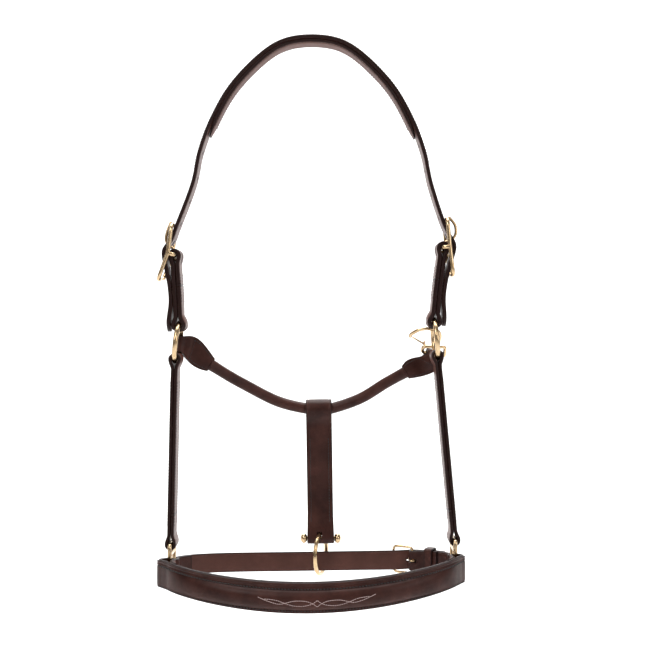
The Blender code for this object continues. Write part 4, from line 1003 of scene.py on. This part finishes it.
def build_chin():
    """Long strap through the chin buckle, and the short strap that holds the buckle's bar."""
    layer = (CHIN_LAYER + TOUCH_GAP) / 2
    over_chape = CHAPE_LAYER + 2 * TOUCH_GAP + CHIN_LAYER / 2
    turn = SQUARE_WIRE + RUN_GAP + CHIN_LAYER / 2
    shares, length = band_shares(CHIN_SAGITTA, 150)
    heel = share_at(CHIN_BUCKLE_X)
    end_bar = share_at(CHIN_BUCKLE_X - CHIN_BUCKLE_LENGTH)
    over_bar = CHIN_BUCKLE_WIRE + RUN_GAP + CHAPE_LAYER + TOUCH_GAP + CHIN_LAYER / 2
    under_end = CHIN_BUCKLE_RISE - CHIN_BUCKLE_WIRE - RUN_GAP - CHIN_LAYER / 2

    def long_strap(share):
        if share < 0.5:
            return ease(share * length, FOLD_REACH, turn, layer)
        if share < end_bar:
            return ease((share - 0.5) * length, (end_bar - 0.5) * length, layer, under_end)
        if share < heel:
            return ease((share - end_bar) * length, (heel - end_bar) * length, under_end, over_bar)
        return ease((share - heel) * length, 0.012, over_bar, over_chape)

    lapped = [share for share in shares if 0 < share * length < CHIN_LAP]
    rear = SQUARE_HALF_DEPTH
    path = band_points(CHIN_SAGITTA, False, reversed(lapped), lambda s: -long_strap(s))
    path += bar_turn(BAND_LEFT.x, rear, turn, 0, -180)
    path += band_points(CHIN_SAGITTA, False, [s for s in shares if 0 < s <= CHIN_TIP_SHARE], long_strap)
    path = flat_path(even_steps, path, STEP)
    section = strap_section(CHIN_WIDTH, CHIN_LAYER, 0.0021)
    strap = sweep("chin_strap_look", path, section, CHIN_PLACE, "straps", ["chin_strap"],
                  tip_widths(path, 0.0, 0.010, 1.8), painted_sheen=0.5)
    origin, along, out, up = chin_frame(heel - (heel - end_bar) * 0.24)
    cutters = [block(origin + out * over_bar * 0.75, (along, up, out), CHIN_SLOT)]
    for k in range(1, 3):
        origin, along, out, up = chin_frame(heel + (0.004 + k * CHIN_HOLE_PITCH) / length)
        cutters.append(helper(*tube_mesh([origin - out * 0.006, origin + out * 0.008], CHIN_HOLE_RADIUS, 14)))
    apply_boolean(strap, cutters, "DIFFERENCE")

    chape_layer = (CHAPE_LAYER + TOUCH_GAP) / 2
    square_turn = SQUARE_WIRE + RUN_GAP + CHAPE_LAYER / 2
    heel_turn = CHIN_BUCKLE_WIRE + RUN_GAP + CHAPE_LAYER / 2

    def chape(share):
        near_heel = ease((share - heel) * length, 0.009, heel_turn, chape_layer)
        near_square = ease((1 - share) * length, 0.012, square_turn, chape_layer)
        return max(near_heel, near_square)

    span = [heel + (1 - heel) * k / 28 for k in range(1, 28)]
    stop = [s for s in span if s <= heel + (1 - heel) * 0.45]
    start = [s for s in span if s > heel + (1 - heel) * 0.45]
    path = band_points(CHIN_SAGITTA, False, reversed(stop), lambda s: -chape(s))
    point, outward = band_base(CHIN_SAGITTA, False, heel)
    angle = degrees(atan2(outward.y, outward.x))
    path += bar_turn(point.x, point.y, heel_turn, angle - 180, angle - 360)
    path += band_points(CHIN_SAGITTA, False, span, chape)
    path += bar_turn(BAND_RIGHT.x, rear, square_turn, 0, -180)
    path += band_points(CHIN_SAGITTA, False, reversed(start), lambda s: -chape(s))
    section = strap_section(CHIN_WIDTH, CHAPE_LAYER, 0.0021)
    short_strap = sweep("chin_chape_look", path, section, CHIN_PLACE, "straps", ["chin_chape"], painted_sheen=0.0)
    origin, along, out, up = chin_frame(heel)
    apply_boolean(short_strap, [block(origin, (along, up, out), CHAPE_SLOT)], "DIFFERENCE")
    seam = band_points(CHIN_SAGITTA, False, lapped[8:], layer + CHIN_LAYER / 2 + SKIN)
    lines = [[CHIN_PLACE(x, y, across) for x, y in seam] for across in (-0.0080, 0.0080)]
    stitches("chin_stitches", lines, "straps")


def build_chin_metal():
    """Frame of the chin buckle and the tongue that hinges on its bar."""
    heel, _, out, up = chin_frame(share_at(CHIN_BUCKLE_X))
    end, _, end_out, _ = chin_frame(share_at(CHIN_BUCKLE_X - CHIN_BUCKLE_LENGTH))
    reach = end + end_out * CHIN_BUCKLE_RISE - heel
    centre = heel + reach / 2
    centre.z = heel.z
    direction = Vector((reach.x, reach.y, 0))
    outline = rounded_rectangle(direction.length / 2, CHIN_HALF_FRAME, 0.004, 6, 0.003)
    direction.normalize()
    points = [centre + direction * a + up * b for a, b in outline]
    wire("chin_buckle_look", points, CHIN_BUCKLE_WIRE, "straps", ["chin_buckle"], True)
    face = direction.cross(up)
    if face.dot(out) < 0:
        face = -face
    path = tongue_wrap(CHIN_BUCKLE_WIRE, CHIN_TONGUE_WIRE, range(100, 385, 15))
    rest = CHIN_BUCKLE_WIRE + TOUCH_GAP + CHIN_TONGUE_WIRE
    path += [(0.0042, 0.0020), (0.0060, 0.0048), (0.0090, 0.0056), (0.0140, 0.0046),
             (reach.length + 0.0012, rest)]
    points = [heel + direction * a + face * b for a, b in flat_path(smooth_curve, path, 0.0008)]
    wire("chin_tongue_look", points, CHIN_TONGUE_WIRE, "chin_pin", ["chin_tongue"])


def build_keeper():
    """Leather loop with rounded corners round the chape and the long strap's end."""
    origin, along, out, up = chin_frame(share_at(KEEPER_X))
    chape_half = CHAPE_LAYER + TOUCH_GAP / 2
    thin = 0.0008
    low = -chape_half - KEEPER_CLEAR[0] - thin
    high = chape_half + TOUCH_GAP + CHIN_LAYER + KEEPER_CLEAR[1] + thin
    outline = rounded_rectangle((high - low) / 2, CHIN_WIDTH / 2 + KEEPER_CLEAR[2] + thin, 0.0022, 6, 0.002)
    section = [(-1.0, -0.55), (-0.9, 0.9), (-0.6, 1.0), (0.0, 1.04), (0.6, 1.0), (0.9, 0.9), (1.0, -0.55),
               (0.9, -0.9), (0.0, -1.0), (-0.9, -0.9)]
    vertices = []
    rim = []
    count = len(outline)
    for i, (a, b) in enumerate(outline):
        tangent = (Vector(outline[(i + 1) % count]) - Vector(outline[i - 1])).normalized()
        for t, r in section:
            face = out * ((low + high) / 2 + a + tangent.y * thin * r) + up * (b - tangent.x * thin * r)
            vertices.append(origin + along * KEEPER_WIDTH / 2 * t + face)
            rim.append(1.0 if abs(t) > 0.85 else 0.0)
    add_piece("chin_keeper_look", vertices, loft_faces(count, len(section), True), HAVANA, "keeper",
              ["chin_keeper"], marks={"edge": rim})


# ---------------------------------------------------------------- rolled throat and snap
def snap_point(p, q):
    ring = PLACES["right"]["ring"] + Vector((0, RING_RADIUS, 0))
    return ring + Vector((p, -sin(SNAP_TILT) * q, cos(SNAP_TILT) * q))


SNAP_NORMAL = Vector((0, cos(SNAP_TILT), sin(SNAP_TILT)))


def build_snap():
    """Open hook, the eye and two lugs joined to it, and the sprung gate between the lugs."""
    route = [(-0.0235, 0.0030), (-0.0225, 0.0062), (-0.0150, 0.0122), (-0.0060, 0.0138), (0.0030, 0.0112),
             (0.0066, 0.0045), (0.0064, -0.0030), (0.0050, -0.0122)]
    points = [snap_point(p, q) for p, q in flat_path(smooth_curve, route, 0.0012)]
    body = wire("snap_body_look", points, SNAP_WIRE, "throat", ["snap_body"], sides=16)
    corners = [(-0.0098, -0.0122), (0.0132, -0.0128), EYE_RIGHT, EYE_LEFT]
    eye_points = [snap_point(*c) for c in rounded_polygon(corners, 0.0026)]
    eye_wire = helper(*tube_mesh(eye_points, SNAP_WIRE * 0.97, 16, True))
    lugs = []
    root = snap_point(-0.0085, -0.0122)
    pivot = snap_point(*GATE_PIVOT)
    for shift in (-0.0021, 0.0021):
        ends = [root + SNAP_NORMAL * shift, pivot + SNAP_NORMAL * shift + (pivot - root) * 0.35]
        lug_points, lug_radii = round_ends(ends, 0.0010)
        lugs.append(helper(*tube_mesh(lug_points, 0.0010, 12, False, lug_radii)))
    apply_boolean(body, [eye_wire] + lugs, "UNION")
    tip = snap_point(-0.0212, 0.0016)
    along = (tip - pivot).normalized()
    side = SNAP_NORMAL.cross(along)
    reach = (tip - pivot).length
    stations = [(-0.0016, 0.0004), (-0.0012, 0.0010), (0.0, 0.0013), (0.0030, 0.0010), (reach * 0.6, 0.0009),
                (reach - 0.0006, 0.0009), (reach, 0.0005)]
    sides = 12
    vertices = []
    for a, size in stations:
        vertices += circle(pivot + along * a, side * size, SNAP_NORMAL * size * 0.85, sides)
    faces = loft_faces(len(stations), sides) + end_faces(len(stations), sides)
    add_piece("snap_gate_look", vertices, faces, BRASS, "gate", ["snap_gate"])


def rounded_polygon(corners, cut):
    """Closed polygon whose corners are quadratic curves."""
    corners = [Vector(corner) for corner in corners]
    result = []
    for i, here in enumerate(corners):
        first = here + (corners[i - 1] - here).normalized() * cut
        final = here + (corners[(i + 1) % len(corners)] - here).normalized() * cut
        for t in (0.0, 0.25, 0.5, 0.75, 1.0):
            result.append(tuple(first * (1 - t) ** 2 + here * 2 * t * (1 - t) + final * t * t))
    return result


def build_tab(node, fold, fold_axis, end, toward, end_across, metal_radius, hug):
    """Flat tab folded round a wire, narrowing and twisting to the rolled throat's end."""
    first = Vector(fold_axis).normalized()
    final = Vector(end_across).normalized()
    span = end - fold
    leave = square_to(span, first).normalized()
    length = span.length
    first_pull = fold + leave * length * 0.35
    last_pull = end + toward * length * 0.35
    layer = (TAB_LAYER + TOUCH_GAP) / 2
    radius = metal_radius + RUN_GAP + TAB_LAYER / 2 + (HUG_CLEAR if hug else TOUCH_GAP)
    path = [(length, -layer), (length * 0.75, -layer)]
    path += eye(radius, layer, min(0.012, length * 0.6))
    path += [(length * 0.75, layer), (length, layer)]
    path = flat_path(even_steps, path, 0.0012)

    def place(s, h, across):
        t = max(s, 0.0) / length
        r = 1 - t
        point = fold * r ** 3 + first_pull * 3 * r * r * t + last_pull * 3 * r * t * t + end * t ** 3
        tangent = (first_pull - fold) * r * r + (last_pull - first_pull) * 2 * r * t
        tangent += (end - last_pull) * t * t
        tangent.normalize()
        u = first.lerp(final, t).normalized()
        normal = tangent.cross(u).normalized()
        if s < 0:
            point = fold + leave * s
        full = TAB_FOLD_WIDTH + (TAB_WIDTH - TAB_FOLD_WIDTH) * sin(min(t / 0.45, 1) * pi / 2)
        if t > 0.45:
            full = TAB_WIDTH + (TAB_END_WIDTH * 0.72 - TAB_WIDTH) * ((t - 0.45) / 0.55) ** 1.6
        across = across * full / STRAP_WIDTH
        bulge = 1 + 0.55 * max((t - 0.6) / 0.4, 0.0) * max(1 - (2 * across / full) ** 2, 0.0)
        shift = Vector()
        if hug:
            fade = 1 - min(max(s / 0.009, 0.0), 1.0)
            turn = across / RING_RADIUS
            shift = Vector((0, -1, 0)) * RING_RADIUS * (1 - cos(turn)) * fade
            across = across * (1 - fade) + RING_RADIUS * sin(turn) * fade
        return point + u * across + normal * h * bulge + shift

    section = strap_section(STRAP_WIDTH, TAB_LAYER, 0.0030)
    sweep(node + "_look", path, section, place, "throat", [node], painted_sheen=0.0)
    face = layer + TAB_LAYER / 2 + SKIN
    lines = edge_lines(place, face, 0.0095, [length * k / 12 for k in range(4, 12)])
    for height in (face, -face):
        lines.append([place(length * 0.36, height, -0.0095 + 0.019 * k / 8) for k in range(9)])
    stitches(node + "_stitches", lines, "throat", 0.0003, 0.0026)


def build_throat():
    points = smooth_curve(ROLL_ROUTE, 0.0025)
    count = len(points)
    radii = []
    for i in range(count):
        gone = min(i, count - 1 - i) * 0.0025
        radii.append(ROLL_RADIUS * (1 + 0.06 * max(1 - gone / 0.012, 0)))
    vertices, faces = tube_mesh(points, ROLL_RADIUS, 28, False, radii, Vector((0, 1, 0)))
    add_piece("throat_roll_look", vertices, faces, HAVANA, "throat", ["throat_roll", "throat_core"])
    seam = []
    for i in range(3, count - 3):
        tangent = (points[i + 1] - points[i - 1]).normalized()
        behind = square_to(Vector((0, 0.7, -0.7)), tangent).normalized()
        seam.append(points[i] + behind * (ROLL_RADIUS + SKIN))
    stitches("throat_seam_stitches", [seam], "throat", 0.0003, 0.0028)
    spot = PLACES["left"]
    dip = pi / 2 - (STRAP_WIDTH / 2 + TAB_FOLD_WIDTH / 2 + TAB_CHEEK_GAP) / RING_RADIUS
    fold = spot["ring"] + Vector((0, RING_RADIUS * cos(dip), 0)) - spot["ring_up"] * RING_RADIUS * sin(dip)
    fold_axis = spot["ring_up"] * cos(dip) + Vector((0, sin(dip), 0))
    toward = (points[0] - points[1]).normalized()
    across = square_to(Vector((0.47, 0, 0.88)), toward)
    build_tab("throat_left_tab", fold, fold_axis, points[0] - toward * 0.0012, toward, across,
              RING_WIRE, True)
    bar_left = snap_point(*EYE_LEFT)
    bar_right = snap_point(*EYE_RIGHT)
    toward = (points[-1] - points[-2]).normalized()
    across = square_to(Vector((0.49, 0, -0.87)), toward)
    build_tab("throat_right_tab", (bar_left + bar_right) / 2, bar_right - bar_left,
              points[-1] - toward * 0.0012, toward, across, SNAP_WIRE, False)


# ---------------------------------------------------------------- centre strap and tie ring
def tie_bolt_point():
    low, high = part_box("tie_bolt")
    return (low + high) / 2


def build_centre():
    """Strap hung on the rolled throat, with the bolt, its two ball nuts and the tie ring."""
    foot = tie_bolt_point()
    start = Vector(CENTRE_TOP)
    length = (foot - start).length
    along = (foot - start).normalized()
    side = square_to(Vector((1, 0, 0)), along).normalized()
    normal = along.cross(side)
    layer = (CENTRE_LAYER + TOUCH_GAP) / 2
    path = two_eye_path(length, ROLL_RADIUS + ROLL_CLEAR + CENTRE_LAYER / 2,
                        BOLT_RADIUS + RUN_GAP + CENTRE_LAYER / 2, layer, 0.016, length * 0.24)

    def place(s, h, across):
        flare = 1 + 0.05 * max((s - length * 0.8) / (length * 0.2), 0.0)
        return start + along * s + normal * h + side * across * flare

    section = strap_section(CENTRE_WIDTH, CENTRE_LAYER, 0.0027)
    strap = sweep("centre_strap_look", path, section, place, "centre", ["centre_strap"], painted_sheen=0.0)
    axes = (Vector((1, 0, 0)), Vector((0, 1, 0)), Vector((0, 0, 1)))
    slots = [block(foot + Vector((turn * 0.0014, turn * 0.0050, 0.0039)), axes, TIE_SLOT)
             for turn in (-1, 1)]
    apply_boolean(strap, slots, "DIFFERENCE")
    lines = edge_lines(place, layer + CENTRE_LAYER / 2 + SKIN, 0.0095, (0.030, length * 0.5, length - 0.018))
    stitches("centre_strap_stitches", lines, "centre")
    for name, sign in (("left", -1), ("right", 1)):
        ball("bolt_%s_ball" % name, foot + Vector((sign * BOLT_HALF_LENGTH, 0, 0)))
    inner = BOLT_HALF_LENGTH - BALL_HALF_LENGTH * 0.9
    ends = [foot + Vector((x, 0, 0)) for x in (-inner, 0, inner)]
    wire("tie_bolt_look", ends, BOLT_RADIUS, "centre", ["tie_bolt"], sides=18)
    centre = foot - Vector((0, 0, TIE_RADIUS - TIE_WIRE - BOLT_RADIUS - TIE_CLEAR))
    across = Vector((sin(TIE_TURN), cos(TIE_TURN), 0))
    points = circle(centre, Vector((0, 0, TIE_RADIUS)), across * TIE_RADIUS, 72)
    wire("tie_ring_look", points, TIE_WIRE, "tie", ["tie_ring"], True, 18)


def ball(node, centre):
    """Flattened ball nut on the bolt's end."""
    sides = 24
    rings = 15
    vertices = []
    for i in range(rings):
        angle = pi * (i + 0.02) / (rings - 0.96)
        middle = centre - Vector((BALL_HALF_LENGTH * cos(angle), 0, 0))
        radius = BALL_RADIUS * sin(angle)
        vertices += circle(middle, Vector((0, radius, 0)), Vector((0, 0, radius)), sides)
    faces = loft_faces(rings, sides) + end_faces(rings, sides)
    add_piece(node + "_look", vertices, faces, BRASS, "centre", [node])


# ---------------------------------------------------------------- studio
def build_studio():
    scene = bpy.context.scene
    scene.view_settings.view_transform = "Standard"
    camera_data = bpy.data.cameras.new("camera")
    camera_data.lens = 61.0
    camera_data.sensor_width = 36.0
    camera = bpy.data.objects.new("camera", camera_data)
    camera.location = (0.013, -1.10, -0.280)
    camera.rotation_euler = (radians(90), 0, 0)
    scene.collection.objects.link(camera)
    scene.camera = camera

    floor_z = -0.80
    back_y = 1.6
    radius = 0.9
    profile = [(-3.0, floor_z)]
    for k in range(17):
        angle = pi / 2 * k / 16
        profile.append((back_y - radius + radius * sin(angle), floor_z + radius - radius * cos(angle)))
    profile.append((back_y, 3.0))
    vertices = []
    for x in (-4.0, 4.0):
        vertices += [(x, y, z) for y, z in profile]
    count = len(profile)
    faces = [(i, i + 1, count + i + 1, count + i) for i in range(count - 1)]
    mesh = bpy.data.meshes.new("studio_floor")
    mesh.from_pydata(vertices, [], faces)
    mesh.shade_smooth()
    material = bpy.data.materials.new("studio_paper")
    material.use_nodes = True
    shader = material.node_tree.nodes["Principled BSDF"]
    shader.inputs["Base Color"].default_value = (0.93, 0.93, 0.93, 1)
    shader.inputs["Roughness"].default_value = 0.9
    mesh.materials.append(material)
    floor = bpy.data.objects.new("studio_floor", mesh)
    scene.collection.objects.link(floor)

    world = bpy.data.worlds.new("studio")
    world.use_nodes = True
    world.node_tree.nodes["Background"].inputs["Color"].default_value = (1.0, 0.99, 0.98, 1)
    world.node_tree.nodes["Background"].inputs["Strength"].default_value = 0.30
    scene.world = world
    add_light("key", (-0.9, -1.3, 0.7), (0, 0, -0.25), 0.9, 13)
    add_light("fill", (1.2, -1.0, 0.1), (0, 0, -0.30), 0.9, 7)
    add_light("backdrop", (0, 0.6, 1.6), (0, 1.5, -0.4), 2.0, 90)


def add_light(name, location, target, size, power):
    data = bpy.data.lights.new(name, "AREA")
    data.size = size
    data.energy = power
    lamp = bpy.data.objects.new(name, data)
    lamp.location = location
    lamp.rotation_euler = (Vector(target) - Vector(location)).to_track_quat("-Z", "Y").to_euler()
    bpy.context.scene.collection.objects.link(lamp)


build_studio()
build_crown()
for side_name in SIDES:
    build_crown_buckle(side_name)
    build_billet(side_name)
    build_ring(side_name)
    build_cheek(side_name)
    build_square(side_name)
build_noseband()
build_chin()
build_chin_metal()
build_keeper()
build_throat()
build_snap()
build_centre()
